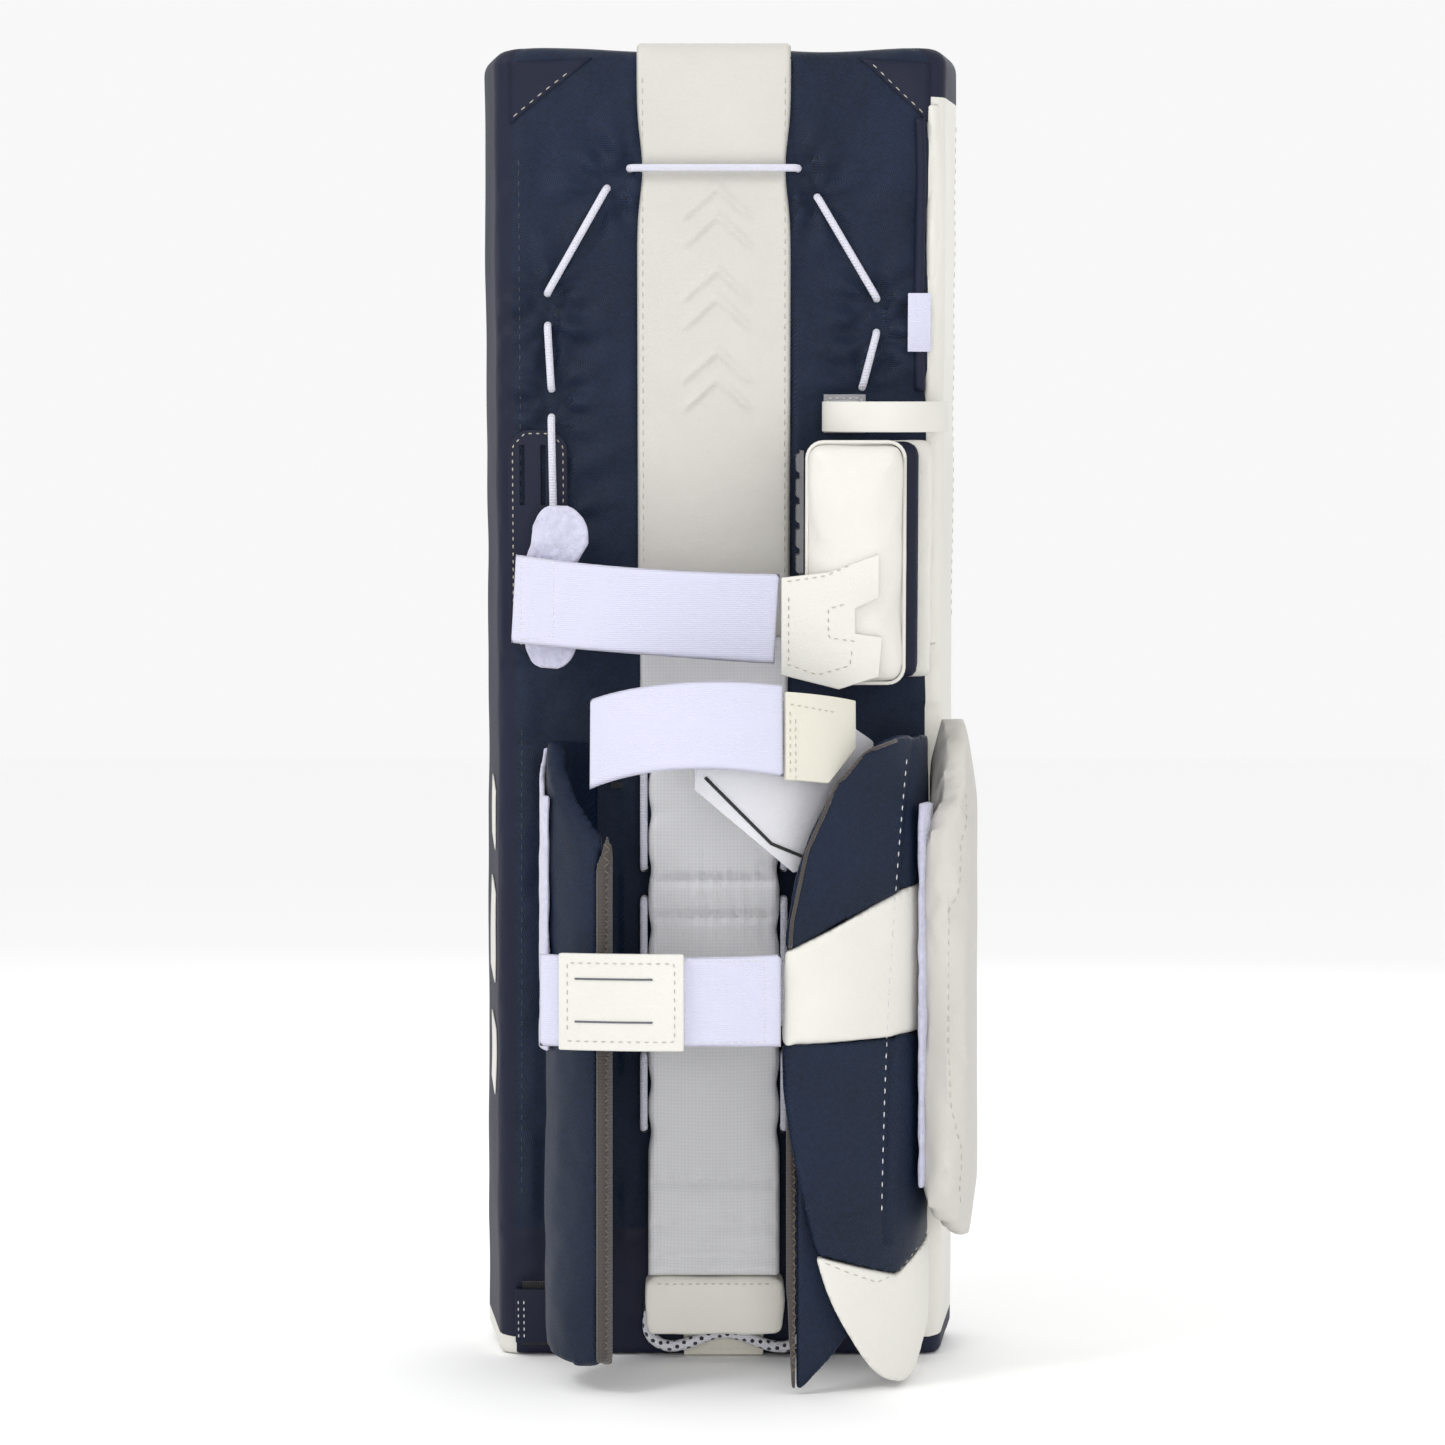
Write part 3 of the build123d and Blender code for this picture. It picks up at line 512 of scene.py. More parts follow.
def soften(bm, voxel, relax=4):
    """An even skin over a solid, relaxed so that its edges round off."""
    bm = applied(bm, "REMESH", mode="VOXEL", voxel_size=voxel)
    for _ in range(relax):
        bmesh.ops.smooth_vert(bm, verts=bm.verts, factor=0.5, use_axis_x=True, use_axis_y=True,
                              use_axis_z=True)
    return bm


def edged(bm, width, segments=3):
    """A flat patch with its cut edges rounded. Flat triangles are joined first."""
    bmesh.ops.dissolve_limit(bm, angle_limit=radians(1.5), verts=bm.verts, edges=bm.edges)
    sharp = [e for e in bm.edges if len(e.link_faces) == 2 and e.calc_face_angle(0) > radians(35)]
    bmesh.ops.bevel(bm, geom=sharp, offset=width, affect="EDGES", segments=segments, profile=0.5,
                    material=-1, clamp_overlap=True)
    bmesh.ops.triangulate(bm, faces=[f for f in bm.faces if len(f.verts) > 4])
    return bm


def swell(bm, cap, pressure=4.0, frames=20):
    """Cloth blown up from inside, as stuffing does, then held to a cap on how far it moved."""
    holder = held(bm)
    start = [v.co.copy() for v in holder.data.vertices]
    cloth = holder.modifiers.new("cloth", "CLOTH")
    cloth.settings.use_pressure = True
    cloth.settings.uniform_pressure_force = pressure
    cloth.settings.tension_stiffness = 25
    cloth.settings.compression_stiffness = 25
    cloth.settings.effector_weights.gravity = 0
    cloth.point_cache.frame_end = frames
    for frame_number in range(1, frames + 1):
        bpy.context.scene.frame_set(frame_number)
    out = taken(holder)
    for vert, rest in zip(out.verts, start):
        move = vert.co - rest
        if move.length > cap:
            vert.co = rest + move * (cap / move.length)
    bpy.context.scene.frame_set(1)
    return out


def dent(bm, rule):
    """Every vertex moved along its normal by a rule of its place, in metres."""
    bm.normal_update()
    moves = [(v, v.normal * rule(v.co, v.normal)) for v in bm.verts]
    for v, move in moves:
        v.co += move
    return bm


def wrinkles(seed, depth, scale):
    """Soft uneven ripples that fade in and out, the same on every run."""
    offset = Vector((seed * 3.7, seed * 1.3, seed * 2.1))
    return lambda co, normal: depth * noise.noise(co * scale + offset)


# %% Stitches
thread_rows = {}


def sewn(points, body, thread="thread_cream", stitch=3.6, gap=2.4, radius=0.45):
    """A row of stitches along 3D points: short beads of thread, half sunk in the cloth."""
    bm = thread_rows.setdefault((body, thread), bmesh.new())
    reach = [0.0]
    for a, b in zip(points, points[1:]):
        reach.append(reach[-1] + (b - a).length)

    def at(distance):
        for i in range(len(points) - 1):
            if distance <= reach[i + 1] or i == len(points) - 2:
                span = max(reach[i + 1] - reach[i], 1e-9)
                return points[i].lerp(points[i + 1], (distance - reach[i]) / span)

    pitch = (stitch + gap) * MM
    for i in range(int(reach[-1] / pitch)):
        a, b = at(i * pitch), at(i * pitch + stitch * MM)
        if (b - a).length < 1e-6:
            continue
        turn = (b - a).to_track_quat("X", "Z").to_matrix().to_4x4()
        size = Matrix.Diagonal(((b - a).length / 2, radius * MM, radius * MM, 1))
        bmesh.ops.create_icosphere(bm, subdivisions=1, radius=1.0,
                                   matrix=Matrix.Translation((a + b) / 2) @ turn @ size)


def surface_of(*objects):
    """What a stitch or patch is laid on: the faces of several pieces, ready to be hit by a ray."""
    bm = bmesh.new()
    for o in objects:
        bm.from_mesh(o.data)
    found = BVHTree.FromBMesh(bm)
    bm.free()
    return found


def met(surface, a, b, lift, side):
    """The point (x, z), or (y, z) from a side, dropped on a surface, or None where it misses."""
    direction = Vector(side)
    origin = Vector((0, a, b) if side[0] else (a, 0, b)) * MM
    hit = surface.ray_cast(origin - direction * 0.5, direction)[0]
    return None if hit is None else hit - direction * lift * MM


def laid(surface, outline, lift=0.15, side=(0, 1, 0), step=2.0):
    """An outline of such points, made dense, dropped on a surface and lifted by a little."""
    dense = []
    for (a, b), (c, d) in zip(outline, outline[1:]):
        count = max(1, ceil(sqrt((c - a) ** 2 + (d - b) ** 2) / step))
        dense += [(a + (c - a) * i / count, b + (d - b) * i / count) for i in range(count)]
    dense.append(outline[-1])
    found = [met(surface, a, b, lift, side) for a, b in dense]
    return [point for point in found if point is not None]


# %% Curves in plan, as the CAD lays its wings and straps


class Arc:
    """A circular arc in plan through a root, a middle and a free end, in millimetres."""

    def __init__(self, a, b, c):
        (ax, ay), (bx, by), (cx, cy) = a, b, c
        d = 2 * (ax * (by - cy) + bx * (cy - ay) + cx * (ay - by))
        a2, b2, c2 = ax * ax + ay * ay, bx * bx + by * by, cx * cx + cy * cy
        self.x = (a2 * (by - cy) + b2 * (cy - ay) + c2 * (ay - by)) / d
        self.y = (a2 * (cx - bx) + b2 * (ax - cx) + c2 * (bx - ax)) / d
        self.r = sqrt((ax - self.x) ** 2 + (ay - self.y) ** 2)
        start, mid, end = [atan2(p[1] - self.y, p[0] - self.x) for p in (a, b, c)]
        sign = 1 if (mid - start) % (2 * pi) < (end - start) % (2 * pi) else -1
        self.start, self.turn = start, sign * ((sign * (end - start)) % (2 * pi))
        self.length = abs(self.turn) * self.r

    def at(self, share, out):
        angle = self.start + self.turn * share
        return self.x + (self.r + out) * cos(angle), self.y + (self.r + out) * sin(angle)


def padded_sheet(place, across, up, cell, thick, crown=1.0, detail=None):
    """A closed panel: two grids whose rims meet. place(u, v, out) gives a point from lengths in
    millimetres, and the thickness falls to nothing over `crown` millimetres at the rim."""
    columns, rows = max(4, round(across / cell)), max(4, round(up / cell))
    bm = bmesh.new()
    for layer in (0, 1):
        made = bmesh.ops.create_grid(bm, x_segments=columns, y_segments=rows, size=0.5)
        for v in made["verts"]:
            s, t = v.co.x + 0.5, v.co.y + 0.5
            u, w = s * across, t * up
            rim = min(u, across - u, w, up - w)
            full = sqrt(max(0.0, 1 - (1 - min(1.0, rim / crown)) ** 2))
            out = thick * (0.5 + (0.5 - layer) * full)
            if detail and layer == 0:
                out += detail(u, w) * full
            v.co = Vector(place(u, w, out)) * MM
    bmesh.ops.remove_doubles(bm, verts=bm.verts, dist=1e-6)
    return bm


knee = Vector(joint["thigh_flex"]["pos_m"]) / MM
ankle = Vector(joint["boot_flex"]["pos_m"]) / MM
thigh_lean, boot_kick = radians(6.0), radians(9.0)


def tilted(point, pivot, angle):
    """A point turned about a line along X, in millimetres."""
    x, y, z = point[0], point[1] - pivot.y, point[2] - pivot.z
    return (x, pivot.y + y * cos(angle) - z * sin(angle), pivot.z + y * sin(angle) + z * cos(angle))


def on_thigh(x, y, z):
    """A point of the upright core, leaned with the thigh."""
    return tilted((x, y, z), knee, thigh_lean)


print("knee break", [round(c, 1) for c in knee], "ankle break", [round(c, 1) for c in ankle])

# %% [markdown]
# ## The long skin
# The core is wrapped in one cover that bends over both breaks. It could be two flat panels and
# two sides, sewn, but then light shows through at the bends. Here it is a grid rolled into a sleeve,
# in two lengths that meet on the shin, so that each length crosses only one joint. The grid follows
# the lean of the thigh and the kick of the boot, and the cloth puckers where the lacing pulls it.

# %% The core's section
face_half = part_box("shin_face_cover")[1].x / MM + 3.3
back_half = face_half - 14.0
core_back = back_y / MM
core_front = core_back + 75.0
skin_proud = 1.2
seam_x = 117.0
skin_top = 752.0
bend_half = 24.0
section_corners = (
    (-back_half, core_back, 12.0), (back_half, core_back, 12.0),
    (face_half, core_front, 16.0), (-face_half, core_front, 16.0),
)


def section_ring():
    """(x, y, normal x, normal y) round the core, closer together in the corners."""
    ring = []
    for i, (x, y, r) in enumerate(section_corners):
        before = Vector(section_corners[i - 1][:2])
        after = Vector(section_corners[(i + 1) % 4][:2])
        here = Vector((x, y))
        a, b = (before - here).normalized(), (after - here).normalized()
        half = a.angle(b) / 2
        reach = r * cos(half) / sin(half)
        centre = here + (a + b).normalized() * (r / sin(half))
        start, end = here + a * reach - centre, here + b * reach - centre
        for k in range(7):
            spoke = start.lerp(end, k / 6).normalized()
            ring.append((centre + spoke * r, spoke))
    out = []
    for (p, n), (q, m) in zip(ring, ring[1:] + ring[:1]):
        out.append((p.x, p.y, n.x, n.y))
        steps = int((q - p).length / 3.0)
        marks = [k / steps for k in range(1, steps)] if steps > 2 else []
        if p.y < core_back + 1 and q.y < core_back + 1 and marks:
            snap = [(s * seam_x - p.x) / (q.x - p.x) for s in (-1, 1)]
            for s in snap:
                nearest = min(range(len(marks)), key=lambda k: abs(marks[k] - s))
                if 0 < s < 1:
                    marks[nearest] = s
        out += [(p.x + (q.x - p.x) * k, p.y + (q.y - p.y) * k, n.x, n.y) for k in marks]
    return out


ring = section_ring()
print("points round the core:", len(ring))

# %% Where the lacing pulls the cover in
lace_holes = [(-64, 279), (-98, 220), (-98, 202), (-96, 166), (-96, 150), (-95, 92), (55, 274),
              (89, 217), (89, 198), (81, 167), (-51, 290), (44, 290)]
lace_holes = [(x, knee.z + z) for x, z in lace_holes]
boot_seam_z = 79.0
quilting = wrinkles(3, 2.6, 24.0)
fine_quilting = wrinkles(8, 1.1, 70.0)


deepest_pucker = -3.2   # the cover never sinks into the foam
# Under a patch or a pad the cover lies flat. Each zone is (low x, high x, low z, high z).
flat_zones = [(-49, 42, 396, 745), (-123, -85, 404, 542), (56, 86, 529, 560), (-45, 39, 0, 356),
              (-121, -89, 4, 54), (-104, -58, 10, 374), (-49, 42, 338, 402), (105, 124, 20, 375)]


def gathers(x, z):
    """Sideways creases between the lacing and the middle panel, deepest along the lacing."""
    high = z - knee.z
    along_lace = max(0.0, 1 - abs(high - 185) / 130)
    beside_panel = exp(-((abs(x + 3) - 84) / 34) ** 2)
    crease = noise.noise(Vector((x * 0.012, 2.0, (z + 0.12 * abs(x)) * 0.075)))
    small = noise.noise(Vector((x * 0.03, 7.0, (z - 0.2 * x) * 0.17)))
    return (3.4 * crease + 1.3 * small) * along_lace * beside_panel


def pucker(x, z, co):
    """How far the nylon on the calf side stands out, in millimetres, before the core is bent."""
    if any(a < x < b and c < z < d for a, b, c, d in flat_zones):
        return -0.9
    out = quilting(co, None) + fine_quilting(co, None) + gathers(x, z)
    for hx, hz in lace_holes:
        d = sqrt((x - hx) ** 2 + (z - hz) ** 2)
        if d < 60:
            spokes = sin(atan2(z - hz, x - hx) * 7 + hx)
            out += -3.8 * exp(-(d / 8) ** 2) + 1.5 * spokes * exp(-((d - 15) / 15) ** 2)
    edge = max(0.0, 1 - abs(abs(x) - seam_x) / 5.0)
    out -= 1.3 * edge * edge
    out -= 2.2 * exp(-((z - knee.z - 9) / 5.0) ** 2) * (1 if abs(x) > 50 else 0.3)
    out -= 1.4 * exp(-((z - boot_seam_z) / 2.6) ** 2)
    return max(out, deepest_pucker)


def bent(x, y, z):
    """A point of the straight core, moved with the thigh's lean or the boot's kick."""
    if z > knee.z - bend_half:
        t = min(1.0, (z - knee.z + bend_half) / (2 * bend_half))
        return tilted((x, y, z), knee, thigh_lean * t * t * (3 - 2 * t))
    if z < ankle.z + bend_half:
        t = min(1.0, (ankle.z + bend_half - z) / (2 * bend_half))
        return tilted((x, y, z), ankle, boot_kick * t * t * (3 - 2 * t))
    return (x, y, z)


def skin_material(x, y, z):
    """Which cloth covers a place: 0 nylon, 1 navy leather, 2 white leather."""
    calf_side = y < core_back + 4
    if calf_side and abs(x) < seam_x:
        return 1 if z < boot_seam_z else 0
    if x < -seam_x + 0.1 and y < core_front - 8:
        return 2 if z < 14 else 1
    if x > 0 and y < core_front - 8:
        return 1 if z < 14 or z > knee.z + 330 else 2
    return 2


def sleeve(low, high, cap_low, cap_high):
    """A grid rolled round the core between two heights. A capped end rounds in and closes."""
    count = round((high - low) / 3.0)
    levels = [(low + (high - low) * k / count, 0.0) for k in range(count + 1)]
    if cap_high:
        r = 10.0
        levels = [(z, i) for z, i in levels if z < high - r - 1]
        levels += [(high - r + r * sin(a), r * (1 - cos(a))) for a in [pi / 2 * k / 7 for k in range(8)]]
        levels += [(high, 18.0), (high, 28.0), (high, 36.0)]
    if cap_low:
        levels = [(z, i) for z, i in levels if z > low + 4]
        levels = [(low, 36.0), (low, 28.0), (low, 18.0), (low, 5.0), (low + 1.5, 1.5)] + levels
    around, tall, bm = len(ring), len(levels) - 1, bmesh.new()
    grid = bmesh.ops.create_grid(bm, x_segments=around, y_segments=tall, size=0.5)["verts"]
    cell = {v: (round((v.co.y + 0.5) * tall), round((v.co.x + 0.5) * around)) for v in grid}
    for face in bm.faces:
        i, k = min(cell[v][0] for v in face.verts), min(cell[v][1] for v in face.verts)
        n = (k + 1) % around
        x, y = (ring[k][0] + ring[n][0]) / 2, (ring[k][1] + ring[n][1]) / 2
        face.material_index = skin_material(x, y, (levels[i][0] + levels[i + 1][0]) / 2)
    for v, (i, k) in cell.items():
        (z, inset), (x, y, nx, ny) = levels[i], ring[k % around]
        shrink_x = max(0.0, abs(x) - inset) / max(abs(x), 1e-6)
        mid = (core_back + core_front) / 2
        shrink_y = max(0.06, 1 - inset / 37.5)
        flat = Vector((x * shrink_x, mid + (y - mid) * shrink_y, z))
        co = flat * MM
        proud = skin_proud
        if inset < 12:
            calf = y < core_back + 3 and abs(x) < seam_x + 8
            proud += pucker(x, z, co) if calf else 0.3 * quilting(co, None)
        wave = 1.2 * sin(x * 0.055 + 1.0) if z > high - 14 and cap_high else 0.0
        place = bent(flat.x + nx * proud, flat.y + ny * proud, flat.z + wave)
        v.co = Vector((place[0], place[1], max(place[2], 0.3))) * MM
    bmesh.ops.remove_doubles(bm, verts=bm.verts, dist=1e-6)
    middle_z = (low + high) / 2 * MM
    for capped, above, cloth in ((cap_low, False, 2), (cap_high, True, 1)):
        rim = [e for e in bm.edges if e.is_boundary and (e.verts[0].co.z > middle_z) == above]
        if capped:
            for face in bmesh.ops.holes_fill(bm, edges=rim, sides=0)["faces"]:
                face.material_index = cloth
    return bm


# %% Make both lengths, shaped to the thigh's lean and the boot's kick
skin_split_z = 216.0
skin_cloth = ["navy_nylon", "navy_leather", "white_leather"]
upper_skin = piece(sleeve(skin_split_z, skin_top, False, True), "long_skin_upper", None, skin_cloth,
                   ["thigh_face_cover", "thigh_back_cover", "shin_face_cover", "shin_back_cover",
                    "thigh_foam_front", "thigh_foam_back", "shin_foam_front", "shin_foam_back"])
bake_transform(upper_skin)
lower_skin = piece(sleeve(0.4, skin_split_z, True, False), "long_skin_lower", None, skin_cloth,
                   ["boot_face_cover", "boot_back_cover", "boot_foam"])
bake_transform(lower_skin)
core_surface = surface_of(upper_skin, lower_skin)
print("skin faces:", len(upper_skin.data.polygons) + len(lower_skin.data.polygons))

# %% [markdown]
# ## Seams, slashes and stitches on the skin
# A seam is a shallow groove in the cover with a row of thread beside it. The grooves are in the
# skin already, so only the thread is laid here. The coloured slashes on the outer side are thin
# leather shapes, sewn on. They are plain slanted bars.

# %% Thread along the seams
sewn(laid(core_surface, [(-88, boot_seam_z - 3), (-60, boot_seam_z - 3)]), "shin", "thread_navy")
sewn(laid(core_surface, [(-seam_x + 3, 95), (-seam_x + 3, 370)]), "shin", "thread_navy", radius=0.35)
sewn(laid(core_surface, [(-seam_x + 3, 420), (-seam_x + 3, 690)]), "thigh", "thread_navy", radius=0.35)
sewn(laid(core_surface, [(-117, 708), (-80, 737)], 0.9), "thigh", "thread_cream", radius=0.35)
sewn(laid(core_surface, [(86, 737), (117, 708)], 0.9), "thigh", "thread_cream", radius=0.35)


def applique(surface, points, name, body, material, thick=0.8, side=(1, 0, 0)):
    """A thin leather shape laid on a surface: its outline filled, then given a thickness."""
    bm = bmesh.new()
    low = [min(p[i] for p in points) for i in (0, 1)]
    high = [max(p[i] for p in points) for i in (0, 1)]
    size = [high[i] - low[i] for i in (0, 1)]
    bm.faces.new([bm.verts.new((a, b, 0)) for a, b in points])
    for axis in (0, 1):
        cuts = max(2, round(size[axis] / 4.0))
        for k in range(1, cuts):
            place, normal = [0, 0, 0], (1 - axis, axis, 0)
            place[axis] = low[axis] + size[axis] * k / cuts
            bmesh.ops.bisect_plane(bm, geom=bm.verts[:] + bm.edges[:] + bm.faces[:], plane_co=place,
                                   plane_no=normal)
    lost = []
    for v in bm.verts:
        place = met(surface, v.co.x, v.co.y, 0.25, side)
        if place is None:
            lost.append(v)
        else:
            v.co = place
    bmesh.ops.delete(bm, geom=lost, context="VERTS")
    outer = bmesh.ops.extrude_face_region(bm, geom=bm.faces[:])
    moved = [g for g in outer["geom"] if isinstance(g, bmesh.types.BMVert)]
    bmesh.ops.translate(bm, verts=moved, vec=-Vector(side) * thick * MM)
    return piece(bm, name, body, [material])


for name, corner in (("left", [(-119, 704), (-119, 738), (-72, 741)]),
                     ("right", [(78, 741), (119, 738), (119, 704)])):
    applique(core_surface, corner, f"top_corner_{name}", "thigh", "navy_leather", 0.5, (0, 1, 0))
front = (0, -1, 0)
front_panels = {
    "face_panel_top": ("thigh", [(-98, 676), (-98, 742), (134, 742), (134, 700), (20, 690)]),
    "face_panel_shin": ("shin", [(-98, 236), (-98, 296), (10, 262), (134, 208), (134, 152), (10, 204)]),
    "face_panel_boot": ("boot", [(-98, 6), (-98, 40), (20, 32), (134, 50), (134, 6)]),
}
for name, (body, points) in front_panels.items():
    applique(core_surface, points, name, body, "navy_leather", 0.6, front)
    rim = [(x + (2.6 if x < 0 else -2.6), z) for x, z in points]
    sewn(laid(core_surface, rim + [rim[0]], 0.8, front), body, "thread_cream", radius=0.4)
for z, body in ((knee.z - 22, "shin"), (knee.z + 118, "thigh"), (knee.z + 210, "thigh"), (92, "shin")):
    for shift in (-1.8, 1.8):
        sewn(laid(core_surface, [(-97, z + shift), (132, z + shift)], 0.1, front), body, "thread_cream",
             radius=0.4)
for y in (core_front - 17, core_back + 10):
    sewn(laid(core_surface, [(y, 110), (y, 360)], 0.1, (-1, 0, 0)), "shin", "thread_cream", radius=0.4)
lean_shift = -sin(thigh_lean)
sewn(laid(core_surface, [(core_front - 19, 430), (core_front - 19 + 290 * lean_shift, 718)], 0.1,
          (-1, 0, 0)), "thigh", "thread_cream", radius=0.4)
for k, (low_z, rise, wide) in enumerate(((150, 48, 15), (215, 62, 19), (292, 44, 13))):
    bar = [(-34, low_z), (-34 + wide, low_z + 10), (-34 + wide, low_z + rise), (-34, low_z + rise - 10)]
    applique(core_surface, bar, f"side_slash_{k + 1}", "shin", "white_leather")
print("rows of thread so far:", len(thread_rows))

# %% [markdown]
# ## Rolls along the outer edge and over the knee
# The vertical roll steers the puck, and the horizontal knee rolls stiffen the front. They are
# stuffed tubes of leather. A soft copy rounds their ends, and the knee rolls are blown up a little.

# %% Soft copies of the rolls


def padded_copy(sources, name, body, material, voxel, relax=4, cap=0.0, rule=None,
                replaces=None):
    """The usual path of a padded piece: even skin, relaxed, blown up, dented, then put in the scene."""
    bm = soften(merged(*sources), voxel * MM, relax)
    if cap:
        dent(bm, lambda co, normal: -start_smaller * MM)
        bm = applied(swell(bm, cap * MM), "SUBSURF", levels=1, render_levels=1)
    if rule:
        dent(bm, lambda co, normal: rule(co, normal) * MM)
    made = piece(bm, name, body, [material], replaces or sources)
    return made


start_smaller = 2.0   # how far inside its stuffed size a cushion starts
padded_copy(["knee_rolls"], "knee_roll_pad", "thigh", "white_leather", 4.0, 3, 5.0)
for body in ("thigh", "shin", "boot"):
    padded_copy([f"{body}_outer_roll"], f"{body}_edge_roll", body, "navy_leather", 2.8, 4,
                rule=wrinkles(11, 0.7, 45.0))
print("rolls: three along the edge, and the knee rolls in one piece")

# %% [markdown]
# ## The long middle panel
# White leather runs up the middle of the thigh, over the lacing that crosses it. The real one is
# embossed with lettering. Here it has plain slanted chevrons, raised by under a millimetre, made by
# lifting the vertices of a fine grid. The double cord pinches the panel where it crosses.

# %% Panel with chevrons
panel_low, panel_high = knee.z + 24, 758.0
panel_x = (-47.0, 40.0)
cross_lace_z = knee.z + 290
chevron_step = 46.0


def panel_relief(u, w):
    """Raised chevron outlines in the middle, and a pinch under the cross lace."""
    z = panel_low + w
    out = -2.6 * exp(-((z - cross_lace_z) / 6.0) ** 2)
    out += 0.8 * exp(-((z - cross_lace_z) / 30.0) ** 2)
    if 120 < w < 262 and 24 < u < 66:
        phase = (w + 0.9 * abs(u - 45)) % chevron_step
        line = min(abs(phase - 10), abs(phase - 26))
        fade = min(1.0, (21 - abs(u - 45)) / 4)
        out += 1.1 * fade * max(0.0, min(1.0, (3.1 - line) / 1.2))
    return out


def panel_place(u, w, out):
    """Up the back, then over the rounded top edge."""
    z, y = panel_low + w, core_back - 0.6 - out
    over = z - (skin_top - 10.0)
    if over > 0:
        turn, reach = over / 10.0, 10.6 + out
        y, z = core_back + 10.0 - reach * cos(turn), skin_top - 10.0 + reach * sin(turn)
    wide = panel_x[1] - panel_x[0]
    pinch = 3.0 * exp(-((panel_low + w - cross_lace_z) / 22.0) ** 2) * (1 - 2 * u / wide)
    return on_thigh(panel_x[0] + u + pinch, y, z)


middle_panel = piece(
    padded_sheet(panel_place, panel_x[1] - panel_x[0], panel_high - panel_low, 1.7, 3.4, 3.0,
                 panel_relief), "middle_panel", "thigh", ["panel_leather"], ["thigh_center_panel"])
panel_surface = surface_of(middle_panel)
for x in (panel_x[0] + 3.2, panel_x[1] - 3.2):
    sewn(laid(panel_surface, [(x, 410), (x, 735)], 0.1), "thigh", "thread_cream", radius=0.3)
print("middle panel from", round(panel_low), "to", round(panel_high), "mm")

# %% Knit over the knee break, between the panel and the cradle
knit_low, knit_high = knee.z - 52, knee.z + 27
knit_ripple = wrinkles(43, 1.0, 45.0)


def knit_place(u, w, out):
    """Flat on the core's back, bent with it over the knee break."""
    z = knit_low + w
    ripple = knit_ripple(Vector((u, 0, z)) * MM, None)
    return bent(panel_x[0] + 1 + u, core_back - 0.8 - out - 0.5 * ripple, z)


knee_knit = piece(padded_sheet(knit_place, panel_x[1] - panel_x[0] - 2, knit_high - knit_low, 2.2, 2.0,
                               2.0), "knee_knit_strip", None, ["grey_knit"])
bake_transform(knee_knit)
print("knit strip", round(knit_high - knit_low), "mm tall")

# %% [markdown]
# ## Anchor patch, loop flap and keeper
# Flat leather patches anchor the straps. They are cut from sheet, so a patch keeps the CAD outline
# and only gets rounded edges. Rows of cream thread follow the outline a few millimetres inside.

# %% Patches


def patch_copy(source, name, body, material, width=0.6):
    """A flat patch in the CAD outline, its cut edges rounded."""
    bm = edged(merged(source), width * MM)
    return piece(bm, name, body, [material], [source])


def inset_rectangle(low, high, by, plane=(0, 2)):
    """A closed outline inside a box, seen from the calf side."""
    a, b = plane
    x0, x1 = low[a] / MM + by, high[a] / MM - by
    z0, z1 = low[b] / MM + by, high[b] / MM - by
    return [(x0, z0), (x1, z0), (x1, z1), (x0, z1), (x0, z0)]


anchor = patch_copy("anchor_patch", "anchor_patch_leather", "thigh", "navy_leather")
low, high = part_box("anchor_patch")
corners = inset_rectangle(low, high, 2.6)
cut = 7.0
x0, x1, z0, z1 = corners[0][0], corners[1][0], corners[0][1], corners[2][1]
rounded_line = [(x0 + cut, z0), (x1 - cut, z0), (x1, z0 + cut), (x1, z1 - cut), (x1 - cut, z1),
                (x0 + cut, z1), (x0, z1 - cut), (x0, z0 + cut), (x0 + cut, z0)]
sewn(laid(surface_of(anchor), rounded_line, 0.1), "thigh", "thread_cream", 2.6, 1.8, 0.4)

keeper = patch_copy("boot_keeper", "boot_keeper_leather", "boot", "navy_leather")
low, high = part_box("boot_keeper")
keeper_surface = surface_of(keeper)
for inset in (1.8, 5.0):
    for x in (low.x / MM + inset, high.x / MM - inset):
        sewn(laid(keeper_surface, [(x, low.z / MM + 3), (x, high.z / MM - 3)], 0.1), "boot",
             "thread_white", 2.4, 1.6, 0.4)
print("anchor patch", round(x1 - x0 + 5.2), "mm wide")

# %% [markdown]
# ## The knee block and its straps
# The block is a stuffed leather box. Three layers hinge on the inner side: a white base, a navy
# layer and the block itself. Cloth blown up from inside gives the block its crown. Piping goes round
# each edge, and a dark rubber rim faces the knee.

# %% Block layers
block_fold = wrinkles(21, 1.1, 34.0)
padded_copy(["knee_block_cover"], "knee_block_cushion", "knee_block", "white_leather", 4.0, 3, 7.0,
            block_fold, ["knee_block_cover", "knee_block_foam"])
padded_copy(["knee_block_layer"], "knee_block_navy_layer", "knee_block", "navy_leather", 2.6, 3,
            rule=wrinkles(23, 0.8, 50.0))
padded_copy(["knee_block_base"], "knee_block_white_base", "knee_block", "white_leather", 2.6, 3,
            rule=wrinkles(24, 1.0, 40.0))


def round_box_line(x, z, r, count=6):
    """A closed outline with round corners."""
    spots = ((x[1] - r, z[1] - r, 0), (x[0] + r, z[1] - r, 1), (x[0] + r, z[0] + r, 2),
             (x[1] - r, z[0] + r, 3))
    out = []
    for cx, cz, quarter in spots:
        out += [(cx + r * cos(pi / 2 * (quarter + k / count)), cz + r * sin(pi / 2 * (quarter + k / count)))
                for k in range(count + 1)]
    return out + [out[0]]


def piping(points, name, body, material, radius, sides=8, replaces=()):
    """A corded edge along a line of points in metres."""
    bm = bmesh.new()
    tube(bm, points, radius * MM, sides)
    piece(bm, name, body, [material], replaces)


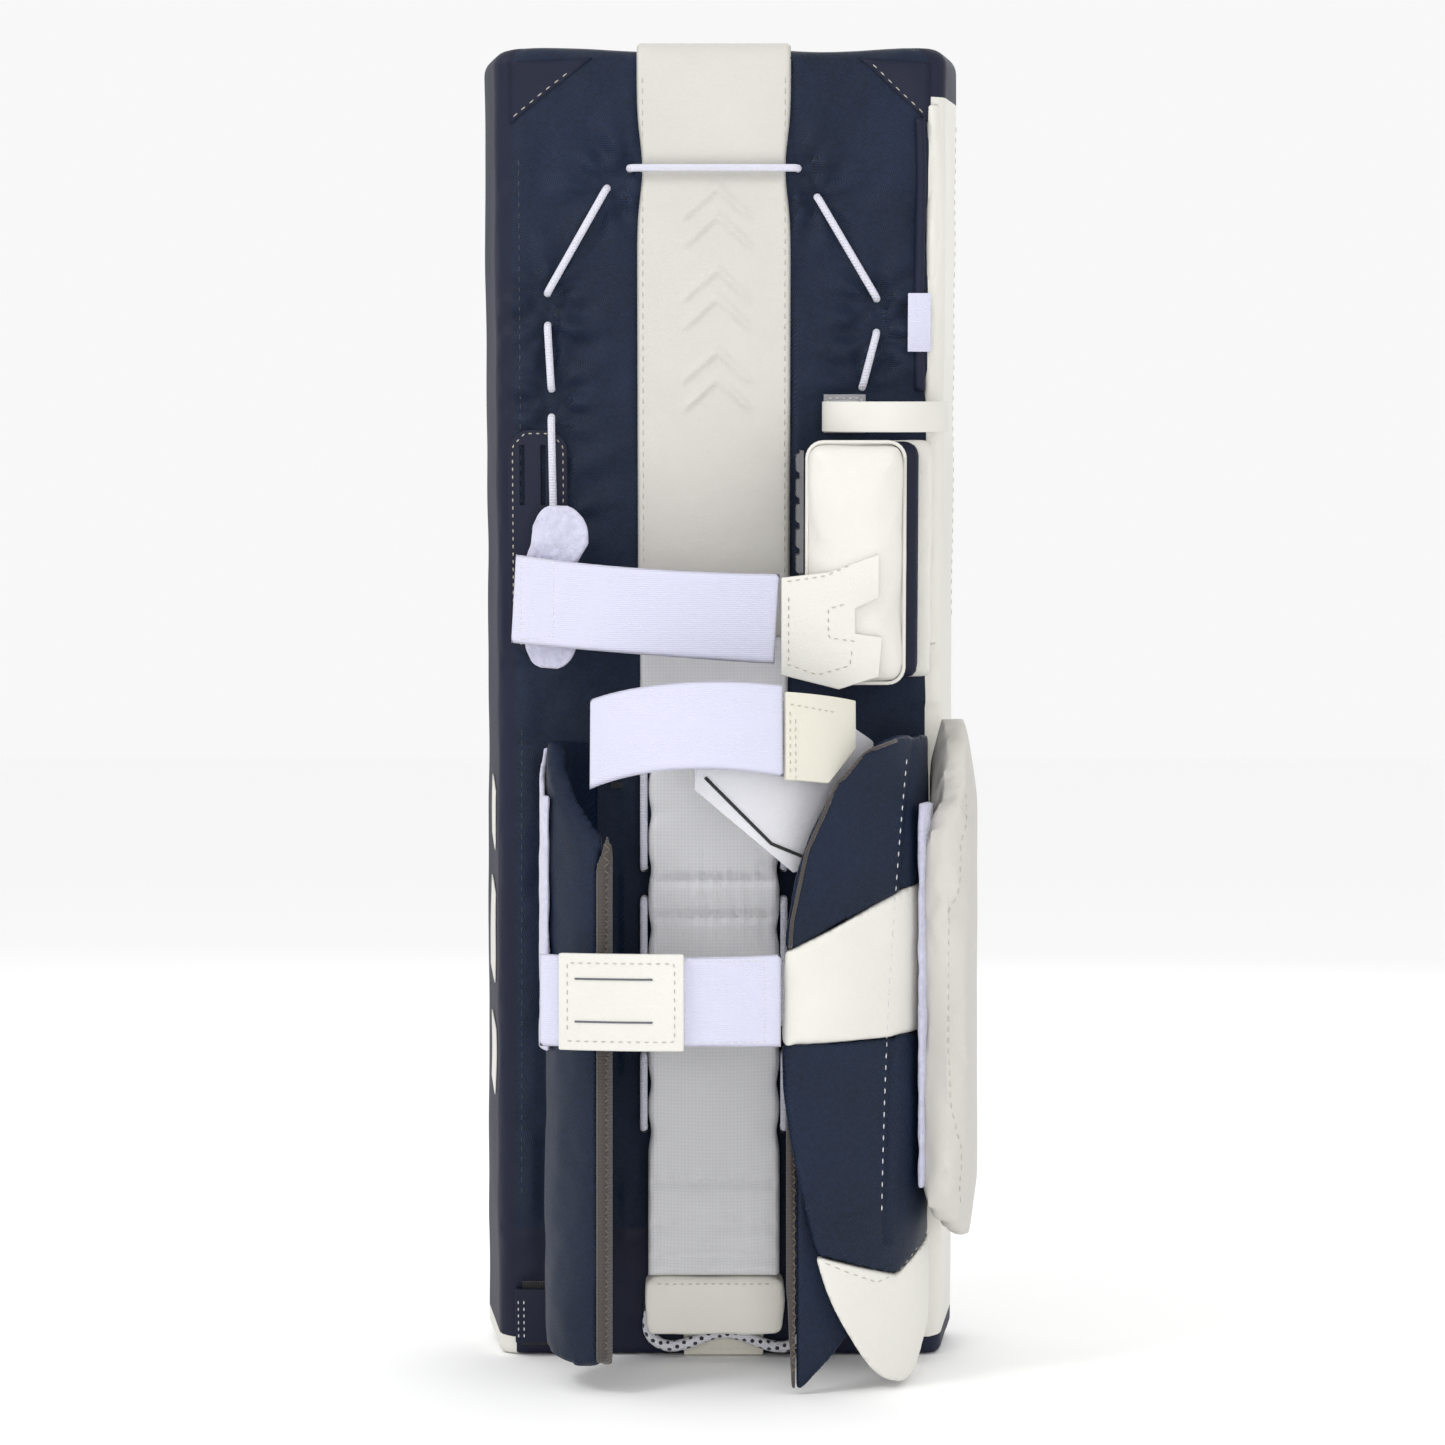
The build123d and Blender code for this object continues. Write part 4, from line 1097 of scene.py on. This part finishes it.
edge_line = round_box_line((51.0, 111.0), (knee.z + 4, knee.z + 135), 7)
piping([Vector(on_thigh(x, core_back - 16.2, z)) * MM for x, z in edge_line], "knee_block_piping",
       "knee_block", "navy_leather", 1.5)
seam_line = round_box_line((48.4, 102.6), (knee.z + 2.4, knee.z + 136.6), 9)
piping([Vector(on_thigh(x, core_back - 52.0, z)) * MM for x, z in seam_line], "knee_block_seam",
       "knee_block", "white_leather", 1.1)

# %% The leather tab and its stitches
knee_tab = patch_copy("knee_strap_tab", "knee_tab_leather", "knee_block", "white_leather")
tab_surface = surface_of(knee_tab)
tab_line = [(37, 398.5), (54, 392.5), (72, 397.5), (74, 411)]
tab_top = [(37, 444), (58, 447), (74, 454)]
for line in (tab_line, tab_top, [(38, 400), (38, 442)], [(75, 411), (60, 413), (60, 429), (75, 433)]):
    sewn(laid(tab_surface, line, 0.1), "knee_block", "thread_cream", 2.8, 1.9, 0.4)

# %% [markdown]
# ## Straps
# Webbing is a flat strip with rounded edges. Each strap is laid along the arc that the CAD gives it,
# as a closed grid, so its ends and edges are round and its ribs run lengthwise.

# %% Straps of elastic webbing


def strap(name, body, arc, shares, rise, thick, material, replaced, place, sag=0.0, seed=1):
    """Webbing along an arc. The belly of it bows by a little, as stretched elastic does."""
    across = arc.length * (shares[1] - shares[0])
    up = rise[1] - rise[0]
    ripple = wrinkles(seed, 0.5, 30.0)

    def at(u, w, out):
        share = shares[0] + (shares[1] - shares[0]) * u / across
        bow = sag * sin(pi * share)
        x, y = arc.at(share, out)
        lean = ripple(Vector((x, y, rise[0] + w)) * MM, None)
        pull = 1.2 * sin(pi * u / across) * (1 if w > up / 2 else -1)
        return place(x, y + lean * 0.4, rise[0] + w - pull * abs(w / up - 0.5) * 2 + bow)

    made = piece(padded_sheet(at, across, up, 2.2, thick, thick * 0.6), name, body, [material], [replaced])
    return made


strap_thick = 2.6
knee_strap_arc = Arc((31.3, core_back - 62.0), (-42.0, core_back - 67.5), (-116.0, core_back - 27.0))
knee_strap_rise = (knee.z + 16, knee.z + 66)
strap_drop = radians(3.5)


def dropped(x, y, z):
    """The knee strap turned in its own face, then leaned with the thigh."""
    mid = sum(knee_strap_rise) / 2
    a, b = x, z - mid
    along = a * cos(strap_drop) + b * sin(strap_drop)
    return on_thigh(along, y, mid - a * sin(strap_drop) + b * cos(strap_drop))


def level(x, y, z):
    """A strap that is laid level stays where its arc puts it."""
    return (x, y, z)


knee_elastic = strap("knee_strap_webbing", "knee_strap", knee_strap_arc, (0.0, 1.0), knee_strap_rise,
                     strap_thick, "white_elastic", "knee_strap_elastic", dropped, seed=31)

# %% The loop flap that the knee strap's hooks grip
flap_rise = (knee.z + 9, knee.z + 101)
flap_width, flap_share, flap_out, flap_thick = 42.0, 0.885, -10.6, 2.6
flap_fluff, flap_curl = wrinkles(17, 1.0, 260.0), wrinkles(18, 2.4, 36.0)


def flap_place(u, w, out):
    """A strip with round ends behind the strap. Where it is free of the strap it curls."""
    tall = flap_rise[1] - flap_rise[0]
    x, z = u - flap_width / 2, w - tall / 2
    end = max(0.0, (abs(z) - tall / 2 + 17) / 17)
    x *= sqrt(max(0.05, 1 - 0.9 * end ** 2.2))
    free = min(1.0, max(0.0, (flap_rise[0] + w - knee_strap_rise[1] - 2) / 12))
    co = Vector((x, 0, z)) * MM
    curl = free * (flap_curl(co, None) + 2.2) + flap_fluff(co, None) * 0.3
    a, b = knee_strap_arc.at(flap_share - x / knee_strap_arc.length - 0.06 * free, flap_out + out + curl)
    return on_thigh(a, b, flap_rise[0] + w)


flap = piece(padded_sheet(flap_place, flap_width, flap_rise[1] - flap_rise[0], 1.3, flap_thick, 1.4,
                          lambda u, w: 0.6 * flap_fluff(Vector((u, 0, w)) * MM, None)),
             "anchor_loop_pile", "thigh", ["loop_fabric"], ["anchor_loop_flap"])

# %% The two calf straps
upper_pivot = Vector(joint["upper_strap_open"]["pos_m"]) / MM
upper_arc = Arc((upper_pivot.x, upper_pivot.y), (-4.0, core_back - 115.0), (56.0, core_back - 96.0))
upper_rise = (knee.z - 66, knee.z - 16)
upper_tilt, upper_tilt_y = radians(9.0), core_back - 80.0


def ridden_up(x, y, z):
    """The upper strap's belly rides up as it goes round the calf."""
    mid = sum(upper_rise) / 2
    b, c = y - upper_tilt_y, z - mid
    return (x, upper_tilt_y + b * cos(upper_tilt) + c * sin(upper_tilt),
            mid - b * sin(upper_tilt) + c * cos(upper_tilt))


strap("upper_strap_webbing", "upper_strap", upper_arc, (0.0, 0.82), upper_rise, strap_thick,
      "white_elastic", "upper_strap_elastic", ridden_up, 5.0, 32)
calf_pivot = Vector(joint["calf_strap_open"]["pos_m"]) / MM
outer_root = Vector(joint["outer_wing_fold"]["pos_m"]) / MM
calf_arc = Arc((calf_pivot.x, calf_pivot.y), (-32.0, calf_pivot.y - 9.5),
               (outer_root.x - 23.0, calf_pivot.y + 5.0))
calf_rise = (191.0, 241.0)
calf_elastic = strap("calf_strap_webbing", "calf_strap", calf_arc, (0.0, 1.0), calf_rise, strap_thick,
                     "white_elastic", "calf_strap_band", level, seed=33)
print("straps, mm:", round(knee_strap_arc.length), round(upper_arc.length * 0.82), round(calf_arc.length))

# %% Stitches on the straps
knee_strap_surface, calf_surface = surface_of(knee_elastic), surface_of(calf_elastic)
box_line = [(-112, 413), (-93, 414), (-93, 458), (-112, 458), (-112, 413)]
sewn(laid(knee_strap_surface, box_line, 0.05), "knee_strap", "thread_white", 2.2, 1.4, 0.35)
for z in (calf_rise[0] + 3, calf_rise[1] - 3):
    sewn(laid(calf_surface, [(-90, z), (28, z)], 0.05), "calf_strap", "thread_white", 2.6, 1.6, 0.35)
sewn(laid(calf_surface, [(24, calf_rise[0] + 3), (24, calf_rise[1] - 3)], 0.05), "calf_strap",
     "thread_white", 2.4, 1.4, 0.35)

# %% Tabs and badge
upper_tab = patch_copy("upper_strap_tab", "upper_tab_leather", "upper_strap", "cream_leather")
upper_tab_surface = surface_of(upper_tab)
for line in ([(38, 333), (38, 376)], [(38, 376), (66, 371)], [(41, 333), (41, 374)]):
    sewn(laid(upper_tab_surface, line, 0.1), "upper_strap", "thread_cream", 2.6, 1.8, 0.4)
badge = patch_copy("calf_strap_badge", "calf_badge_leather", "calf_strap", "white_leather", 1.0)
badge_surface = surface_of(badge)
low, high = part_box("calf_strap_badge")
inner = inset_rectangle(low, high, 5.0)
sewn(laid(badge_surface, inner, 0.1), "calf_strap", "thread_cream", 2.8, 1.9, 0.4)
for z in (205.0, 228.0):
    bar = [(-78, z), (-36, z), (-36, z + 1.0), (-78, z + 1.0)]
    applique(badge_surface, bar, f"badge_line_{int(z)}", "calf_strap", "pale_print", 0.25, (0, 1, 0))

# %% [markdown]
# ## The leg channel
# The calf rests on a grey knit cradle, tied down both sides by elastic lacing, with channels sewn
# across it so that it bends. It could be one soft copy, but the channels need a fine grid, so it is a
# padded sheet whose thickness follows a rule: hollow along the middle, nipped in at each channel.

# %% Cradle liner
cradle_low, cradle_high = [[c / MM for c in corner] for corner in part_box("cradle_liner")]
cradle_channels = (104.0, 255.0, 276.0, 83.0, 68.0)   # the first three carry stitches
cradle_foot = 57.5
cradle_wide = cradle_high[0] - cradle_low[0]
lace_ties = (133.0, 160.0, 190.0, 220.0, 248.0, 282.0, 314.0, 342.0)
cradle_ripple = wrinkles(41, 0.9, 38.0)


def cradle_relief(u, w):
    """Hollow along the middle, nipped in at the channels and at the ties."""
    z = cradle_foot + w
    out = -6.0 * (1 - ((u - cradle_wide / 2) / (cradle_wide / 2)) ** 2)
    out -= sum(3.4 * exp(-((z - c) / 2.8) ** 2) for c in cradle_channels)
    rim = min(u, cradle_wide - u)
    out -= sum(2.2 * exp(-((z - c) / 5.0) ** 2) for c in lace_ties) * exp(-(rim / 10.0) ** 2)
    upright = 0.7 * sin(u * 0.75 + 0.02 * z) * exp(-min(abs(z - c) for c in cradle_channels) / 9.0)
    return out + upright + cradle_ripple(Vector((u, 0, z)) * MM, None)


def cradle_place(u, w, out):
    """Up the core's back, drawn in a little at each tie."""
    z = cradle_foot + w
    tie = sum(exp(-((z - c) / 7.0) ** 2) for c in lace_ties)
    pull = 1.6 * tie * (2 * u / cradle_wide - 1)
    return bent(cradle_low[0] + u - pull, cradle_high[1] - out, z)


liner = piece(padded_sheet(cradle_place, cradle_wide, cradle_high[2] - cradle_foot, 1.8,
                           cradle_high[1] - cradle_low[1], 5.0, cradle_relief),
              "cradle_cushion", None, ["grey_knit"], ["cradle_liner", "cradle_tail", "cradle_foam"])
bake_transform(liner)
liner_surface = surface_of(liner)
for z in cradle_channels[:3]:
    sewn(laid(liner_surface, [(cradle_low[0] + 5, z), (cradle_high[0] - 5, z)], 0.1), "shin",
         "thread_white", 2.4, 1.8, 0.3)

# %% Ties of black elastic, and their eyelets down the cradle's sides
bm = bmesh.new()
for z in lace_ties:
    for x in (-43.0, 36.0):
        spot = Matrix.Translation(Vector((x, core_back - 14.5, z)) * MM)
        bmesh.ops.create_uvsphere(bm, u_segments=10, v_segments=6, radius=1.7 * MM,
                                  matrix=spot @ Matrix.Diagonal((1, 0.5, 0.7, 1)))
piece(bm, "cradle_eyelets", "shin", ["black_webbing"])
print("eyelets:", 2 * len(lace_ties))

# %% [markdown]
# ## The calf tongue
# A flap of woven cloth lies between the calf and the inner wing. It is thin, so it keeps the CAD
# outline, with its cut edge rounded and bound in black along the lower slant.

# %% Tongue
tongue = piece(edged(merged("calf_tongue"), 0.7 * MM), "calf_tongue_cloth", "shin", ["woven_white"],
               ["calf_tongue"])
tongue_surface = surface_of(tongue)
tongue_edge = laid(tongue_surface, [(-8, 336), (28, 300), (54, 289)], 0.3, step=1.5)
piping(tongue_edge, "calf_tongue_binding", "shin", "black_webbing", 1.0)
print("bound edge of the tongue:", len(tongue_edge), "points")

# %% [markdown]
# ## Wings
# The wings are padded panels that fold round the calf. Each one is a soft copy, so the panel, the
# white band across it and the white guard at the heel meet in sunken seams. Their bound edges carry a
# zigzag of tan thread: short stitches that go from side to side along the edge.

# %% Outer wing
outer_cloth = wrinkles(51, 1.3, 22.0)
outer_fine = wrinkles(52, 0.5, 70.0)


def outer_rule(co, n):
    """Folds that die out beside the core, which leaves room for the wing to swing open."""
    clear = min(1.0, max(0.0, (core_back - co.y / MM - 8) / 14))
    return (outer_cloth(co, n) + outer_fine(co, n)) * clear - 1.4 * (1 - clear)


padded_copy(["outer_wing_panel"], "outer_wing_cushion", "outer_wing", "navy_nylon_outer", 2.4, 5,
            rule=outer_rule)
outer_binding = padded_copy(["outer_wing_binding"], "outer_wing_edge", "outer_wing", "binding_tape",
                            1.6, 4)
padded_copy(["outer_wing_loop"], "outer_wing_pile", "outer_wing", "loop_fabric", 1.4, 3,
            rule=wrinkles(53, 0.6, 80.0))


def zigzag(surface, outline, body, width, pitch=3.4):
    """Tan thread that runs from side to side along an edge."""
    line = laid(surface, outline, 0.1, step=pitch)
    across = Vector((width / 2, 0, 0)) * MM
    path = [p + (across if k % 2 else -across) for k, p in enumerate(line)]
    for a, b in zip(path, path[1:]):
        sewn([a, b], body, "thread_tan", (b - a).length / MM * 0.98, 0.0, 0.35)


edge_low, edge_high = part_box("outer_wing_binding")
edge_x = (edge_low.x + edge_high.x) / 2 / MM
zigzag(surface_of(outer_binding), [(edge_x + 1, 24), (edge_x + 1, 300)], "outer_wing", 3.6)

# %% Inner wing
inner_cloth = wrinkles(61, 1.5, 18.0)
inner_fine = wrinkles(62, 0.55, 65.0)


def wing_seam(z):
    """Where the lengthwise seam runs at a height, in millimetres. It curves in towards the heel."""
    return 107 - 0.105 * (350 - z) + 0.00018 * (350 - z) ** 2


def inner_rule(co, n):
    """Broad folds in the nylon, and a groove along the seam."""
    x, z = co.x / MM, co.z / MM
    groove = 1.5 * exp(-((x - wing_seam(z)) / 1.8) ** 2) * (z > 80)
    return inner_cloth(co, n) + inner_fine(co, n) - groove


inner_wing = padded_copy(["inner_wing_panels"], "inner_wing_cushion", "inner_wing", "navy_nylon", 2.3, 4,
                         rule=inner_rule)
inner_band = padded_copy(["inner_wing_band"], "inner_wing_white_band", "inner_wing", "white_leather",
                         2.1, 4, rule=wrinkles(63, 0.9, 24.0))
inner_guard = padded_copy(["inner_wing_guard"], "inner_wing_heel_guard", "inner_wing", "white_leather",
                          1.6, 4, rule=wrinkles(64, 0.8, 24.0))
padded_copy(["inner_wing_liner"], "inner_wing_lining", "inner_wing", "navy_nylon", 1.7, 4)
inner_binding = padded_copy(["inner_wing_binding"], "inner_wing_edge", "inner_wing", "binding_tape",
                            1.4, 3)
inner_surface = surface_of(inner_wing, inner_band, inner_guard)
seam_points = [(wing_seam(z) - 3.4, z) for z in range(346, 84, -8)]
sewn(laid(inner_surface, seam_points, 0.12), "inner_wing", "thread_white", 3.4, 3.0, 0.42)
guard_line = [(57, 77), (70, 71), (86, 64), (98, 67), (112, 80)]
sewn(laid(inner_surface, [(x, z - 4) for x, z in guard_line], 0.12), "inner_wing", "thread_cream",
     radius=0.35)
ridge = [(97, 356), (80, 350), (63, 331), (47, 296), (39, 258), (38, 244)]
ridge_line = laid(inner_surface, ridge, 0.2, step=3.0)
piping(ridge_line, "inner_wing_ridge_edge", "inner_wing", "binding_tape", 1.1)
zigzag(surface_of(inner_binding), [(40.2, 12), (40.2, 262)], "inner_wing", 3.0)
print("ridge edge:", len(ridge_line), "points")

# %% [markdown]
# ## The calf wedge
# A long white cushion stands along the inner side. It is blown up like the knee block, and a strip
# of loop tape runs down its calf side.

# %% Wedge
wedge_fold = wrinkles(71, 1.1, 20.0)
wedge = padded_copy(["calf_wedge_cover"], "calf_wedge_cushion", "calf_wedge", "panel_leather", 4.0, 3,
                    6.0, wedge_fold, ["calf_wedge_cover", "calf_wedge_foam"])
padded_copy(["calf_wedge_loop"], "calf_wedge_pile", "calf_wedge", "loop_fabric", 1.3, 3,
            rule=wrinkles(72, 0.8, 80.0))
wedge_surface = surface_of(wedge)
sewn(laid(wedge_surface, [(-118, 100), (-124, 150), (-125, 240), (-119, 300), (-105, 345), (-80, 362)],
          0.12, (-1, 0, 0)), "calf_wedge", "thread_cream", radius=0.4)
print("calf wedge faces:", len(wedge.data.polygons))

# %% [markdown]
# ## Boot, band and edge trim
# What is left is small: the boot pad with its lip over the bungee, the toe tab, the arched band that
# hangs the knee block, its clear patch, and the corded trim along the inner edge.

# %% Boot pad and toe tab
pad_fold = wrinkles(81, 0.9, 48.0)
# Its leather is the white leather painted lighter, against the shade the wings cast on it.
boot_pad = padded_copy(["boot_pad"], "boot_pad_cushion", "boot", "pad_leather", 2.2, 4, 0.0,
                       lambda co, n: pad_fold(co, n) + 1.4 * exp(-((co.z / MM - 34) / 12) ** 2))
toe_tab = patch_copy("toe_tab", "toe_tab_leather", "boot", "cream_leather", 0.8)
sewn(laid(surface_of(toe_tab), [(-18, 4), (22, 4)], 0.1), "boot", "thread_white", 2.6, 1.8, 0.35)
boot_pad_surface = surface_of(boot_pad)
sewn(laid(boot_pad_surface, [(-36, 45), (30, 45)], 0.1), "boot", "thread_cream", 2.6, 1.8, 0.35)
print("boot pad faces:", len(boot_pad.data.polygons))

# %% Suspension band, clear patch and edge trim
piece(edged(merged("block_suspension_band"), 0.6 * MM), "block_hanging_band", "thigh",
      ["white_leather"], ["block_suspension_band"])
clear_patch = patch_copy("block_anchor_patch", "block_clear_patch", "thigh", "smoke_film", 0.4)
low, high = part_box("block_anchor_patch")
sewn(laid(surface_of(clear_patch), inset_rectangle(low, high, 2.4), 0.1), "thigh", "thread_white", 2.2,
     1.6, 0.35)
trim_x = (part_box("thigh_edge_piping")[0].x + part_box("thigh_edge_piping")[1].x) / 2 / MM
trim_ripple = wrinkles(91, 2.2, 30.0)
trim_line = []
trim_low, trim_high = int(knee.z) + 165, int(knee.z) + 321
for z in range(trim_low, trim_high, 3):
    wobble = trim_ripple(Vector((0, 0, z)) * MM, None)
    trim_line.append(Vector(on_thigh(trim_x + wobble * 0.6, core_back - 2.2 - abs(wobble) * 0.2, z)) * MM)
piping(trim_line, "thigh_corded_edge", "thigh", "navy_leather", 3.0, 10, ["thigh_edge_piping"])
piece(edged(merged("edge_tab"), 0.5 * MM), "woven_edge_tab", "thigh", ["white_elastic"], ["edge_tab"])
print("trim along the edge:", len(trim_line), "points")

# %% A crumpled leather fold beside the corded edge
gusset_ripple = wrinkles(95, 1.0, 70.0)
gusset_wide, gusset_tall = 11.0, 306.0


def gusset_place(u, w, out):
    """A shallow fold up the inner edge, deepest in its middle."""
    z = knee.z + 20 + w
    fold = gusset_ripple(Vector((u, 0, z)) * MM, None)
    deep = 3.0 * sin(pi * u / gusset_wide) + 1.8 * fold
    return on_thigh(trim_x + 2.6 + u, core_back + 2.2 + 0.076 * u * u - deep - out, z)


gusset = piece(padded_sheet(gusset_place, gusset_wide, gusset_tall, 1.8, 1.6, 1.0),
               "crumpled_edge_fold", "thigh", ["white_leather"])
print("crumpled fold faces:", len(gusset.data.polygons))

# %% [markdown]
# ## Threads, and finishes for the CAD pieces that stay
# All the stitches of one body and one thread become one piece. The rigid pieces, the stiffeners
# and the lacing keep their CAD shape and only get a finish.

# %% Stitches
for (body, thread), rows in thread_rows.items():
    piece(rows, f"stitches_{body}_{thread[7:]}", body, [thread])
print("stitch pieces:", len(thread_rows))

# %% CAD pieces
kept_cad = {
    "thigh_lacing": "white_cord", "shin_lacing": "white_cord", "cradle_elastics": "black_webbing",
    "toe_eyelets": "dark_rubber", "boot_keeper_webbing": "black_webbing",
    "knee_block_rim": "dark_rubber", "knee_strap_hook": "hook_tape",
    "shin_stiffener": "stiffener_sheet", "thigh_stiffener": "stiffener_sheet",
}
for name, node in nodes.items():
    node.data.materials.clear()
    node.data.materials.append(finish[kept_cad.get(name, "core_foam")])
print("CAD pieces that show:", sorted(n for n, o in nodes.items() if not o.hide_render))

# %% Bring the scene up to date
bpy.context.view_layer.update()
